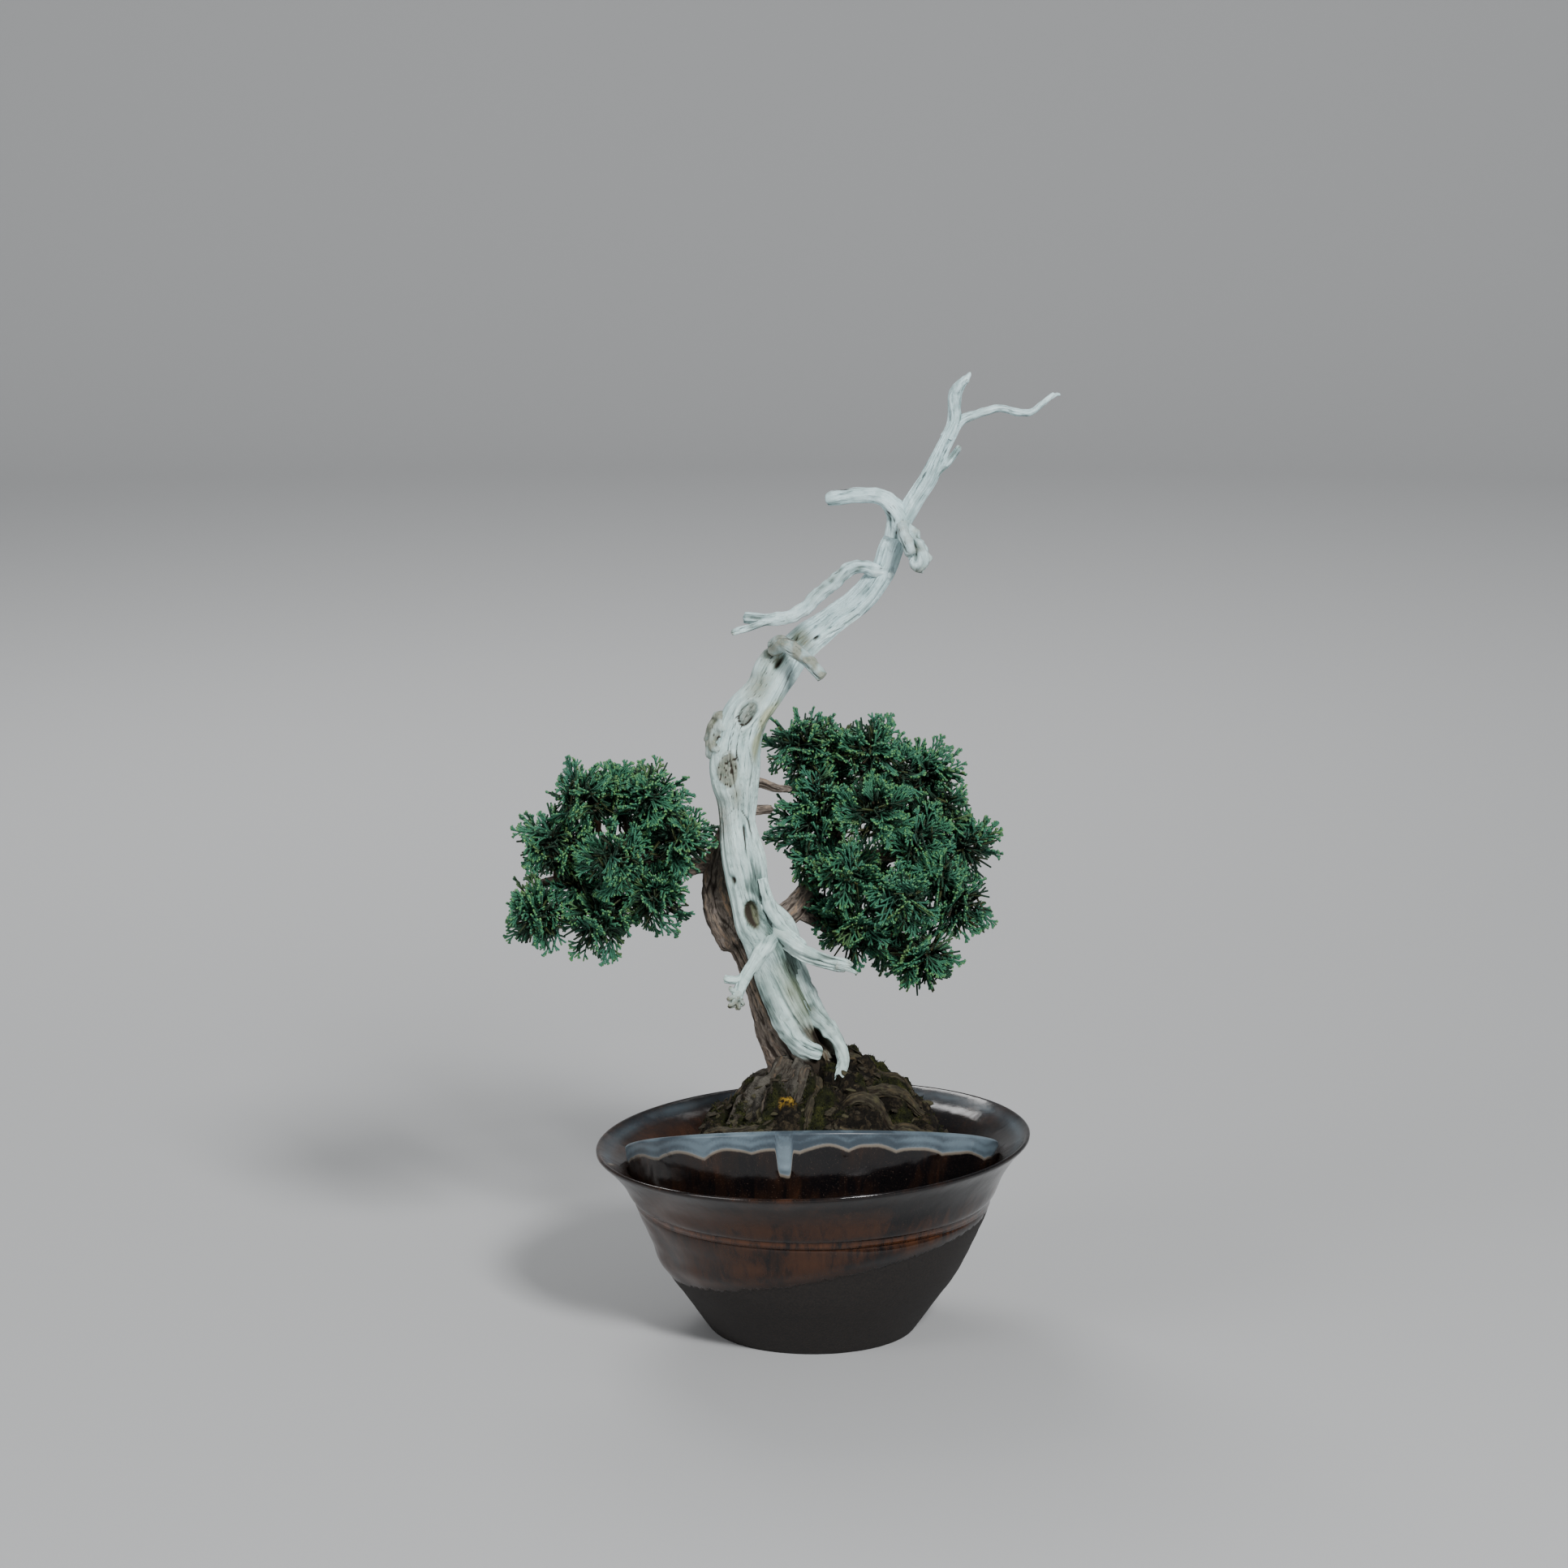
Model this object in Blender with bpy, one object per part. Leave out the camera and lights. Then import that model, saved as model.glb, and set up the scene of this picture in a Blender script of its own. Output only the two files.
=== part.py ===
"""Itoigawa juniper bonsai in its round glazed pot, at real size.

The origin is the centre of the pot's base, +Z is up and the front of the tree faces -Y.
Routes and sizes below are in millimetres and become metres when a mesh is made.
A route is a list of (x, y, z, radius) points that a smooth curve runs through.
"""

import math
import random

import bpy
import numpy as np
from mathutils import Quaternion, Vector
from mathutils.bvhtree import BVHTree

MM = 0.001
GAP = 0.3  # space left between pieces that touch
SEED = 41

# Pot
BASE_RADIUS = 46.0
RIM_RADIUS = 95.0
RIM_HEIGHT = 83.4
RIM_SLOPE = 0.042  # the rim warped in the kiln and stands higher on the right
WARP_FROM = 50.0  # height above which the warp grows
FLOOR = 7.0
POT_SIDES = 36
OUTER_PROFILE = [
    (BASE_RADIUS - 1.0, 0.0),
    (BASE_RADIUS, 1.0),
    (56.0, 15.4),
    (65.0, 28.4),
    (75.0, 49.4),
    (77.2, 55.4),
    (76.8, 58.2),
    (80.2, 61.6),
    (84.0, 69.5),
    (89.6, 77.2),
    (RIM_RADIUS - 0.5, RIM_HEIGHT - 0.9),
    (RIM_RADIUS, RIM_HEIGHT),
    (RIM_RADIUS - 1.0, RIM_HEIGHT + 0.8),
]
INNER_PROFILE = [
    (88.0, 80.2),
    (81.0, 75.2),
    (76.6, 66.0),
    (74.2, 57.0),
    (70.0, 46.0),
    (60.0, 28.0),
    (40.0, FLOOR + 0.5),
]
COLLAR_HALF_TURN = 93.0  # degrees each way from the front
COLLAR_STEPS = 18
COLLAR_FOOT = 75.4
COLLAR_END = 80.8  # top of the collar at its two ends
COLLAR_FRONT = 110.6  # top of the collar at the front
COLLAR_FOOT_RADIUS = 81.0
COLLAR_FLARE = 0.115  # outward lean of the collar, as a slope
COLLAR_WALL = 2.8
COLLAR_EDGE = 0.8  # rounding of its top
COLLAR_ROOT = 57.0  # height in the bowl's wall where the collar starts
ROUNDED_FROM = 78.0  # from this turn on, the collar's right end runs down in a round
ROUNDED_DROP = 9.5
DRAIN_RADIUS = 5.5
DRAIN_CIRCLE = 24.0

# Drain mesh
MESH_SIDE = 17.0
MESH_THICKNESS = 1.0
MESH_HOLE = 5.0
MESH_PITCH = 7.0

# Soil and mound
SOIL_TOP = 62.0
MOUND_TOP = 122.0
MOUND_SIDES = 32
MOUND_REACH = {"right": 69.0, "back": 56.0, "left": 50.0, "front": 62.0}
MOUND_RINGS = [0.17, 0.34, 0.50, 0.65, 0.79, 0.91, 1.0]
DOME_EDGE = 2.5  # higher keeps the sides steeper
DOME_CROWN = 0.65  # lower makes the crown flatter
RIDGES = [(7, 2.2, 0.0, 0.050), (12, -3.0, 1.0, 0.030), (4, 9.0, 0.0, 0.025)]
LUMPS = [(0.33, 0.21, 0.4, 0.040), (-0.19, 0.37, 2.0, 0.035), (0.52, -0.30, 1.1, 0.022)]
OLD_ROOTS = [
    [(18, -16, 112, 3.4), (27, -27, 108, 3.6), (37, -35, 99, 3.2), (45, -40, 89, 2.6)],
    [(30, -10, 111, 3.2), (43, -16, 103, 3.6), (54, -21, 91, 3.0), (60, -24, 82, 2.4)],
    [(4, -22, 111, 3.0), (2, -36, 105, 3.2), (5, -48, 93, 2.8), (6, -55, 82, 2.2)],
    [(-16, -14, 112, 3.4), (-27, -24, 104, 3.6), (-36, -32, 92, 3.2), (-40, -37, 80, 2.4)],
    [(-22, 6, 110, 3.4), (-35, 10, 102, 3.4), (-45, 14, 88, 2.8), (-48, 16, 77, 2.2)],
    [(20, 18, 111, 3.4), (33, 29, 102, 3.4), (43, 38, 88, 2.8), (46, 42, 77, 2.2)],
    [(-6, 24, 110, 3.2), (-11, 37, 102, 3.2), (-14, 47, 88, 2.6), (-15, 51, 77, 2.0)],
]

# Deadwood: the bare trunk from the soil to the tip
TRUNK = [
    (7, 2, 106, 10.0),
    (5, 1, 118, 11.0),
    (-1, 0, 131, 11.5),
    (-8, -2, 146, 11.5),
    (-14, -4, 161, 12.0),
    (-19, -6, 175, 12.5),
    (-25, -7, 186, 9.6),
    (-28, -8, 196, 8.4),
    (-30, -8, 208, 8.6),
    (-32, -8, 219, 7.6),
    (-33, -7, 228, 6.8),
    (-33, -6, 237, 7.8),
    (-34, -5, 248, 10.0),
    (-33, -4, 259, 10.6),
    (-29, -2, 271, 10.2),
    (-21, 0, 282, 8.5),
    (-15, 2, 291, 8.4),
    (-9, 4, 299, 7.4),
    (-3, 5, 305, 7.0),
    (3, 6, 309, 6.6),
    (13, 6, 313, 6.3),
    (21, 5, 320, 6.5),
    (28, 4, 327, 6.4),
    (32, 3, 336, 5.3),
    (34, 1, 346, 4.6),
    (37, 0, 352, 4.6),
    (38, -1, 359, 4.5),
    (42, -2, 367, 4.4),
    (48, -3, 378, 4.1),
    (55, -4, 389, 3.6),
    (62, -3, 400, 2.9),
]
JINS = {
    "top": [
        (61, -3, 397, 2.6),
        (60, -4, 407, 2.3),
        (60, -5, 413, 2.1),
        (63, -7, 417, 1.5),
        (66, -8, 420, 0.8),
    ],
    "thin_right": [
        (60, -3, 397, 1.8),
        (64, -2, 400, 1.6),
        (70, 0, 402, 1.4),
        (79, 3, 404, 1.4),
        (87, 6, 402, 1.2),
        (93, 8, 402, 1.2),
        (98, 9, 406, 1.0),
        (104, 11, 410, 0.7),
    ],
    "stub_right": [
        (49, -3, 378, 2.6),
        (53, -2, 381, 2.4),
        (57, -1, 384, 1.9),
        (62, 2, 388, 1.0),
    ],
    "arch_left": [
        (39, -1, 356, 3.2),
        (38, -1, 362, 3.1),
        (35, 1, 366, 2.9),
        (29, 3, 367, 2.6),
        (21, 5, 367, 2.6),
        (12, 8, 366, 2.4),
        (5, 11, 364, 2.4),
    ],
    "broken_front": [
        (36, 0, 356, 3.0),
        (38, -6, 354, 3.3),
        (41, -12, 349, 3.5),
        (44, -18, 342, 3.8),
        (44, -21, 337, 3.0),
    ],
    "long_left": [
        (32, 3, 334, 3.0),
        (27, 0, 335, 2.6),
        (21, -3, 337, 2.5),
        (15, -5, 336, 2.6),
        (9, -8, 331, 2.8),
        (2, -10, 326, 2.6),
        (-3, -12, 321, 2.5),
        (-10, -13, 317, 2.3),
        (-19, -14, 316, 2.1),
        (-30, -15, 317, 1.7),
    ],
    "long_left_prong": [
        (-13, -13, 316, 1.9),
        (-20, -15, 315, 1.5),
        (-27, -18, 313, 1.3),
        (-35, -20, 311, 1.0),
    ],
    "burl": [
        (-9, 2, 303, 4.6),
        (-15, -1, 307, 5.0),
        (-19, -2, 302, 5.0),
        (-21, -2, 295, 4.4),
        (-20, 0, 288, 3.6),
    ],
    "hook": [
        (-17, -3, 304, 3.4),
        (-14, -10, 306, 3.0),
        (-7, -16, 303, 2.7),
        (-1, -20, 298, 2.3),
        (4, -23, 293, 1.2),
    ],
    "knot_left": [
        (-36, -4, 262, 7.0),
        (-40, -4, 267, 5.2),
        (-41, -4, 271, 3.2),
    ],
    "low_left": [
        (-17, -8, 178, 4.6),
        (-20, -16, 175, 3.6),
        (-25, -20, 168, 2.7),
        (-30, -23, 161, 2.4),
        (-33, -26, 153, 2.0),
    ],
    "low_left_prong": [
        (-28, -22, 163, 1.8),
        (-33, -24, 161, 1.5),
        (-38, -26, 162, 1.0),
    ],
    "low_right": [
        (-18, -8, 181, 5.0),
        (-9, -14, 178, 3.8),
        (-2, -18, 175, 3.2),
        (7, -22, 171, 2.6),
        (17, -25, 168, 1.9),
    ],
    "ridge_left": [
        (-22, -10, 176, 3.5),
        (-22, -11, 164, 3.8),
        (-19, -11, 152, 3.9),
        (-15, -10, 142, 3.9),
        (-10, -10, 133, 3.8),
        (-3, -9, 127, 3.6),
        (4, -8, 124, 3.0),
    ],
    "shell_right": [
        (-7, -5, 170, 4.0),
        (-2, -5, 156, 4.4),
        (4, -4, 143, 4.8),
        (12, -3, 133, 4.8),
        (16, -1, 124, 4.2),
        (14, 1, 114, 3.6),
        (11, 2, 106, 3.0),
    ],
}
THICK_JIN = 3.6  # thicker jins get more sides

# Live wood: the strip that still carries sap, and the limbs it feeds
VEIN = [
    (0, 9, 42, 5.0),
    (-1, 8, 62, 9.0),
    (-3, 7, 84, 12.0),
    (-5, 7, 106, 13.0),
    (-9, 6, 120, 11.5),
    (-17, 6, 134, 9.2),
    (-23, 6, 148, 8.6),
    (-29, 6, 162, 8.2),
    (-34, 8, 174, 8.2),
    (-38, 9, 186, 8.2),
    (-40, 11, 197, 7.6),
    (-40, 13, 206, 6.4),
    (-38, 18, 214, 4.8),
    (-37, 21, 222, 3.4),
]
LIMBS = {
    "left": [
        (-38, 11, 200, 5.4),
        (-47, 12, 204, 4.2),
        (-56, 10, 203, 3.5),
        (-68, 8, 206, 3.0),
        (-80, 6, 211, 2.6),
        (-92, 5, 208, 2.2),
        (-106, 4, 201, 1.9),
        (-120, 2, 197, 1.6),
    ],
    "right": [
        (-34, 9, 174, 7.6),
        (-24, 16, 176, 6.6),
        (-13, 20, 179, 5.8),
        (-4, 24, 187, 4.9),
        (4, 28, 199, 4.0),
        (11, 32, 213, 3.3),
        (18, 35, 226, 2.6),
        (24, 37, 238, 2.0),
    ],
    "far_right": [
        (2, 27, 197, 3.6),
        (18, 33, 202, 3.0),
        (34, 36, 203, 2.5),
        (50, 37, 199, 2.0),
    ],
    "low_right": [
        (-9, 22, 183, 4.0),
        (2, 27, 175, 3.0),
        (12, 30, 168, 2.4),
        (24, 32, 163, 2.1),
        (38, 30, 160, 1.8),
    ],
}
TWIG_RADIUS = 1.1
STEEPEST_BARK = 0.5  # least share of a twig's direction that is square to the bark
CORE_RADIUS = 6.0  # packed inner shoots in the middle of a tuft

# Foliage: the middle of each tuft, left mass then right mass
LEFT_TUFTS = [
    (-98, -10, 238),
    (-70, -8, 238),
    (-114, -4, 216),
    (-86, -18, 213),
    (-58, -6, 219),
    (-120, -7, 185),
    (-94, -8, 182),
    (-68, -4, 193),
    (-84, 22, 232),
    (-106, 24, 208),
    (-72, 26, 208),
    (-88, 20, 186),
]
RIGHT_TUFTS = [
    (-5, 28, 253),
    (25, 22, 254),
    (50, 44, 238),
    (0, 22, 222),
    (26, 9, 228),
    (46, 20, 212),
    (67, 36, 207),
    (64, 24, 183),
    (14, 10, 200),
    (38, 6, 188),
    (19, 18, 172),
    (49, 20, 159),
    (6, 56, 234),
    (36, 62, 216),
    (54, 58, 190),
    (24, 58, 188),
    (36, 48, 164),
]
TUFT_REACH = 18.0
SHOOTS_PER_TUFT = 7
SHOOT_SPREAD = 1.45  # 2 would point shoots all round a tuft, 1 only outwards
SHOOT_ROOT = 0.4 * CORE_RADIUS  # distance from a tuft's middle to the root of its shoots
ATTEMPTS = 14
CORD_RADIUS = 0.66  # of the three-sided shoot, about 1.1 mm across
CORD_TWIST = 0.4  # turn of the shoot's section from one ring of points to the next
CORD_TAPER = 0.08
SIDE_CORD = 6.6
TIP_CORD = 5.2
WHORL_HEIGHT = 2.3
RISE = Vector((0, 0, 0.1))  # how much shoots turn up, as a slope
TUFT_CLEARANCE = 0.9  # from a cord's middle to the space of the next tuft
WOOD_CLEARANCE = 1.6
CORD_CLEARANCE = 1.0  # between the cords of two shoots of a tuft
BARE_SHARE = 0.25  # first share of a limb, which carries no twigs

BARK = (0.150, 0.110, 0.090)
SILVER_WOOD = (0.640, 0.660, 0.620)
GREEN = (0.035, 0.150, 0.085)
MOSS = (0.045, 0.042, 0.020)
GRIT = (0.110, 0.085, 0.060)
GLAZE = (0.020, 0.014, 0.012)
MESH_PLASTIC = (0.020, 0.022, 0.021)


def clear_scene():
    for obj in list(bpy.data.objects):
        bpy.data.objects.remove(obj)


def finish(name, colour, roughness, metallic=0.0):
    """A material with one Principled BSDF."""
    material = bpy.data.materials.new(name)
    material.use_nodes = True
    shader = material.node_tree.nodes["Principled BSDF"]
    shader.inputs["Base Color"].default_value = (*colour, 1.0)
    shader.inputs["Roughness"].default_value = roughness
    shader.inputs["Metallic"].default_value = metallic
    material.diffuse_color = (*colour, 1.0)
    return material


def make_object(name, points, faces, material):
    """A mesh object from points in millimetres."""
    mesh = bpy.data.meshes.new(name)
    mesh.from_pydata((np.asarray(points, float) * MM).tolist(), [], faces)
    mesh.materials.append(material)
    mesh.shade_smooth()
    mesh.set_sharp_from_angle(angle=math.radians(40))
    obj = bpy.data.objects.new(name, mesh)
    bpy.context.scene.collection.objects.link(obj)
    return obj


def apply_modifiers(obj):
    bpy.context.view_layer.update()
    graph = bpy.context.evaluated_depsgraph_get()
    mesh = bpy.data.meshes.new_from_object(obj.evaluated_get(graph), depsgraph=graph)
    old = obj.data
    obj.modifiers.clear()
    obj.data = mesh
    bpy.data.meshes.remove(old)


def boolean(obj, others, operation, solver="EXACT"):
    """One Boolean on a collection of the other objects, applied; the others are removed."""
    group = bpy.data.collections.new(obj.name + "_others")
    for other in others:
        group.objects.link(other)
    modifier = obj.modifiers.new(operation.lower(), "BOOLEAN")
    modifier.operation = operation
    modifier.solver = solver
    modifier.operand_type = "COLLECTION"
    modifier.collection = group
    apply_modifiers(obj)
    for other in others:
        bpy.data.objects.remove(other)
    bpy.data.collections.remove(group)


def smooth_route(route, step):
    """Points about step apart on a Catmull-Rom curve through the route, radius included."""
    rows = np.asarray(route, float)
    before = 2 * rows[0] - rows[1]
    after = 2 * rows[-1] - rows[-2]
    padded = np.vstack([before, rows, after])
    fine = []
    for i in range(1, len(rows)):
        p0, p1, p2, p3 = padded[i - 1 : i + 3]
        t = np.linspace(0, 1, 13)[:-1, None]
        fine.append(
            0.5
            * (
                2 * p1
                + (p2 - p0) * t
                + (2 * p0 - 5 * p1 + 4 * p2 - p3) * t**2
                + (3 * p1 - p0 - 3 * p2 + p3) * t**3
            )
        )
    fine = np.vstack([*fine, rows[-1:]])
    run = np.concatenate([[0], np.cumsum(np.linalg.norm(np.diff(fine[:, :3], axis=0), axis=1))])
    count = max(2, round(run[-1] / step) + 1)
    places = np.linspace(0, run[-1], count)
    return np.column_stack([np.interp(places, run, fine[:, k]) for k in range(4)])


def tube(route, sides, material, step=6.0, grow=0.0, flute=0.0, flutes=3, name="tube"):
    """A closed tube round a route. Flutes make its section wavy, and wind slowly up it."""
    rows = smooth_route(route, step)
    centres = [Vector(row[:3]) for row in rows]
    count = len(rows)
    points = []
    across = None
    for i, centre in enumerate(centres):
        ahead = centres[min(i + 1, count - 1)] - centres[max(i - 1, 0)]
        ahead.normalize()
        if across is None:
            across = ahead.orthogonal()
        across = (across - ahead * across.dot(ahead)).normalized()
        other = ahead.cross(across)
        for k in range(sides):
            turn = 2 * math.pi * k / sides
            wave = 1 + flute * math.cos(flutes * turn + 0.35 * i)
            radius = rows[i][3] * wave + grow
            points.append(centre + (across * math.cos(turn) + other * math.sin(turn)) * radius)
    if grow:
        # A grown copy also reaches a little past both ends.
        for k in range(sides):
            points[k] = points[k] - (centres[1] - centres[0]).normalized() * grow
            points[-1 - k] = points[-1 - k] + (centres[-1] - centres[-2]).normalized() * grow
    faces = [tuple(range(sides))[::-1]]
    for i in range(count - 1):
        for k in range(sides):
            a = i * sides + k
            b = i * sides + (k + 1) % sides
            faces.append((a, b, b + sides, a + sides))
    faces.append(tuple(range((count - 1) * sides, count * sides)))
    return make_object(name, [tuple(p) for p in points], faces, material)


def warp(x, z):
    """Height of a pot point once the rim has warped."""
    share = max(0.0, min(1.0, (z - WARP_FROM) / (RIM_HEIGHT - WARP_FROM)))
    return z + RIM_SLOPE * x * share * share * (3 - 2 * share)


def turned(name, profile, sides, material, warped=False):
    """A closed turned body. The profile runs up the outside and down the inside."""
    points = []
    for radius, height in profile:
        for k in range(sides):
            turn = 2 * math.pi * k / sides
            x = radius * math.cos(turn)
            y = radius * math.sin(turn)
            points.append((x, y, warp(x, height) if warped else height))
    faces = [tuple(range(sides))[::-1]]
    for i in range(len(profile) - 1):
        for k in range(sides):
            a = i * sides + k
            b = i * sides + (k + 1) % sides
            faces.append((a, b, b + sides, a + sides))
    faces.append(tuple(range((len(profile) - 1) * sides, len(profile) * sides)))
    return make_object(name, points, faces, material)


def drain_places():
    """Centres of the three drain holes, clear of the middle of the base."""
    for k in range(3):
        turn = math.radians(90 + 120 * k)
        yield DRAIN_CIRCLE * math.cos(turn), DRAIN_CIRCLE * math.sin(turn)


def collar(material):
    """The raised front of the bowl: a wall that is high at the front and low at its ends."""
    points = []
    sections = 0
    for i in range(COLLAR_STEPS + 1):
        turn = COLLAR_HALF_TURN * (2 * i / COLLAR_STEPS - 1)
        forward = math.cos(math.radians(turn))
        top = COLLAR_END + (COLLAR_FRONT - COLLAR_END) * max(0.0, forward)
        # The right end runs down into the lip in a round, the left end stays cut square.
        if turn > ROUNDED_FROM:
            share = (turn - ROUNDED_FROM) / (COLLAR_HALF_TURN - ROUNDED_FROM)
            top -= ROUNDED_DROP * share * share
        foot = min(COLLAR_FOOT, top - COLLAR_WALL)
        rise = top - foot
        outer_top = COLLAR_FOOT_RADIUS + COLLAR_FLARE * rise
        section = [
            (75.9, COLLAR_ROOT),
            (COLLAR_FOOT_RADIUS - 1.4, foot - 7.0),
            (COLLAR_FOOT_RADIUS, foot),
            (COLLAR_FOOT_RADIUS + 0.5 * COLLAR_FLARE * rise, foot + 0.5 * rise),
            (outer_top, top - COLLAR_EDGE),
            (outer_top - COLLAR_EDGE, top),
            (outer_top - COLLAR_WALL + COLLAR_EDGE, top),
            (outer_top - COLLAR_WALL, top - COLLAR_EDGE),
            (COLLAR_FOOT_RADIUS - 1.5 * COLLAR_WALL, foot - 1.0),
            (75.1, COLLAR_ROOT),
        ]
        sections = len(section)
        angle = math.radians(turn - 90)
        for radius, height in section:
            x = radius * math.cos(angle)
            points.append((x, radius * math.sin(angle), warp(x, height)))
    faces = [tuple(range(sections))]
    for i in range(COLLAR_STEPS):
        for k in range(sections):
            a = i * sections + k
            b = i * sections + (k + 1) % sections
            faces.append((a, a + sections, b + sections, b))
    last = COLLAR_STEPS * sections
    faces.append(tuple(range(last, last + sections))[::-1])
    return make_object("collar", points, faces, material)


def make_pot():
    glaze = finish("dark_glaze", GLAZE, 0.18)
    pot = turned("pot", OUTER_PROFILE + INNER_PROFILE, POT_SIDES, glaze, warped=True)
    boolean(pot, [collar(glaze)], "UNION", "MANIFOLD")
    holes = []
    for x, y in drain_places():
        hole = turned("hole", [(DRAIN_RADIUS, -2), (DRAIN_RADIUS, FLOOR + 2)], 16, glaze)
        hole.location = (x * MM, y * MM, 0)
        holes.append(hole)
    boolean(pot, holes, "DIFFERENCE")
    return pot


def box(name, size, centre, material):
    x, y, z = (side / 2 for side in size)
    points = [
        (centre[0] + i * x, centre[1] + j * y, centre[2] + k * z)
        for i in (-1, 1)
        for j in (-1, 1)
        for k in (-1, 1)
    ]
    faces = [(0, 1, 3, 2), (4, 6, 7, 5), (0, 4, 5, 1), (2, 3, 7, 6), (0, 2, 6, 4), (1, 5, 7, 3)]
    return make_object(name, points, faces, material)


def make_drain_meshes():
    """A square of plastic mesh over each drain hole, lying on the pot's floor."""
    plastic = finish("mesh_plastic", MESH_PLASTIC, 0.6)
    height = FLOOR + 0.5 + GAP + MESH_THICKNESS / 2
    for number, (x, y) in enumerate(drain_places(), 1):
        size = (MESH_SIDE, MESH_SIDE, MESH_THICKNESS)
        sheet = box(f"drain_mesh_{number}", size, (x, y, height), plastic)
        holes = [
            box(
                "opening",
                (MESH_HOLE, MESH_HOLE, 3 * MESH_THICKNESS),
                (x + i * MESH_PITCH / 2, y + j * MESH_PITCH / 2, height),
                plastic,
            )
            for i in (-1, 1)
            for j in (-1, 1)
        ]
        boolean(sheet, holes, "DIFFERENCE")


def bowl_radius(height):
    """Inner radius of the bowl at a height."""
    radii = [radius for radius, _ in INNER_PROFILE][::-1]
    heights = [level for _, level in INNER_PROFILE][::-1]
    return float(np.interp(height, heights, radii))


def make_soil(stump_cutters):
    grit = finish("grit", GRIT, 0.95)
    bottom = FLOOR + 0.5 + GAP
    levels = [bottom, 28.0, 46.0, 57.0, SOIL_TOP]
    profile = [(bowl_radius(level) - 1.6 * GAP, level) for level in levels]
    profile[0] = (profile[0][0] - 0.4, bottom)
    soil = turned("soil", profile, 40, grit)
    pockets = [
        box(
            "pocket",
            (MESH_SIDE + 2 * GAP, MESH_SIDE + 2 * GAP, 2 * (MESH_THICKNESS + 2 * GAP)),
            (x, y, FLOOR + 0.5),
            grit,
        )
        for x, y in drain_places()
    ]
    boolean(soil, pockets, "DIFFERENCE")
    boolean(soil, stump_cutters, "DIFFERENCE")
    return soil


def mound_reach(turn):
    """How far the mound spreads in a direction, a smooth mix of its four reaches."""
    x = math.cos(turn)
    y = math.sin(turn)
    side = MOUND_REACH["right"] if x > 0 else MOUND_REACH["left"]
    depth = MOUND_REACH["back"] if y > 0 else MOUND_REACH["front"]
    return 1 / math.sqrt((x / side) ** 2 + (y / depth) ** 2)


def mound_height(share, turn):
    """Height at a share of the reach, below 1: a steep, lumpy dome with ridges running down."""
    dome = (1 - share**DOME_EDGE) ** DOME_CROWN
    reach = share * mound_reach(turn)
    x = reach * math.cos(turn)
    y = reach * math.sin(turn)
    rough = sum(size * math.cos(n * turn + wind * share + start) for n, wind, start, size in RIDGES)
    rough += sum(size * math.sin(a * x + b * y + start) for a, b, start, size in LUMPS)
    spread = math.sin(math.pi * share) ** 0.7
    return SOIL_TOP + GAP + (MOUND_TOP - SOIL_TOP - GAP) * (dome + rough * spread)


def make_mound(trunk_cutters):
    moss = finish("moss", MOSS, 0.95)
    points = [(0.0, 0.0, mound_height(0.0, 0.0))]
    for share in MOUND_RINGS:
        for k in range(MOUND_SIDES):
            turn = 2 * math.pi * k / MOUND_SIDES
            reach = share * mound_reach(turn)
            height = mound_height(share, turn) if share < 1 else SOIL_TOP + GAP + 2.0
            points.append((reach * math.cos(turn), reach * math.sin(turn), height))
    rim = 1 + (len(MOUND_RINGS) - 1) * MOUND_SIDES
    for x, y, _ in points[rim : rim + MOUND_SIDES]:
        points.append((0.985 * x, 0.985 * y, SOIL_TOP + GAP))
    faces = []
    for k in range(MOUND_SIDES):
        following = (k + 1) % MOUND_SIDES
        faces.append((0, 1 + k, 1 + following))
        for ring in range(len(MOUND_RINGS)):
            a = 1 + ring * MOUND_SIDES + k
            b = 1 + ring * MOUND_SIDES + following
            faces.append((a, a + MOUND_SIDES, b + MOUND_SIDES, b))
    lowest = 1 + len(MOUND_RINGS) * MOUND_SIDES
    faces.append(tuple(range(lowest, lowest + MOUND_SIDES))[::-1])
    mound = make_object("moss_mound", points, faces, moss)
    roots = [tube(route, 5, moss, 13.0, name="old_root") for route in OLD_ROOTS]
    boolean(mound, roots, "UNION", "MANIFOLD")
    boolean(mound, trunk_cutters, "DIFFERENCE", "MANIFOLD")
    return mound


def live_strip(material, grow=0.0):
    return tube(VEIN, 9, material, 11.0, grow, flute=0.08, name="live_strip")


def deadwood_tubes(material, grow=0.0):
    """The bare trunk and its jins as separate overlapping tubes."""
    pieces = [tube(TRUNK, 10, material, 9.0, grow, flute=0.07, name="deadwood")]
    for name, route in JINS.items():
        thick = max(row[3] for row in route)
        sides, step = (6, 7.5) if thick > THICK_JIN else (5, 6.5)
        pieces.append(tube(route, sides, material, step, grow, name=name))
    return pieces


def make_deadwood():
    pieces = deadwood_tubes(finish("silver_wood", SILVER_WOOD, 0.75))
    boolean(pieces[0], pieces[1:], "UNION", "MANIFOLD")
    return pieces[0]


def make_live_wood():
    """The live strip and its limbs, with the bare trunk's shape cut out of them."""
    bark = finish("bark", BARK, 0.9)
    wood = live_strip(bark)
    wood.name = "live_wood"
    limbs = [tube(route, 6, bark, 10.0, name="limb") for route in LIMBS.values()]
    boolean(wood, limbs, "UNION", "MANIFOLD")
    boolean(wood, deadwood_tubes(bark, GAP), "DIFFERENCE", "MANIFOLD")
    return wood


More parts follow.
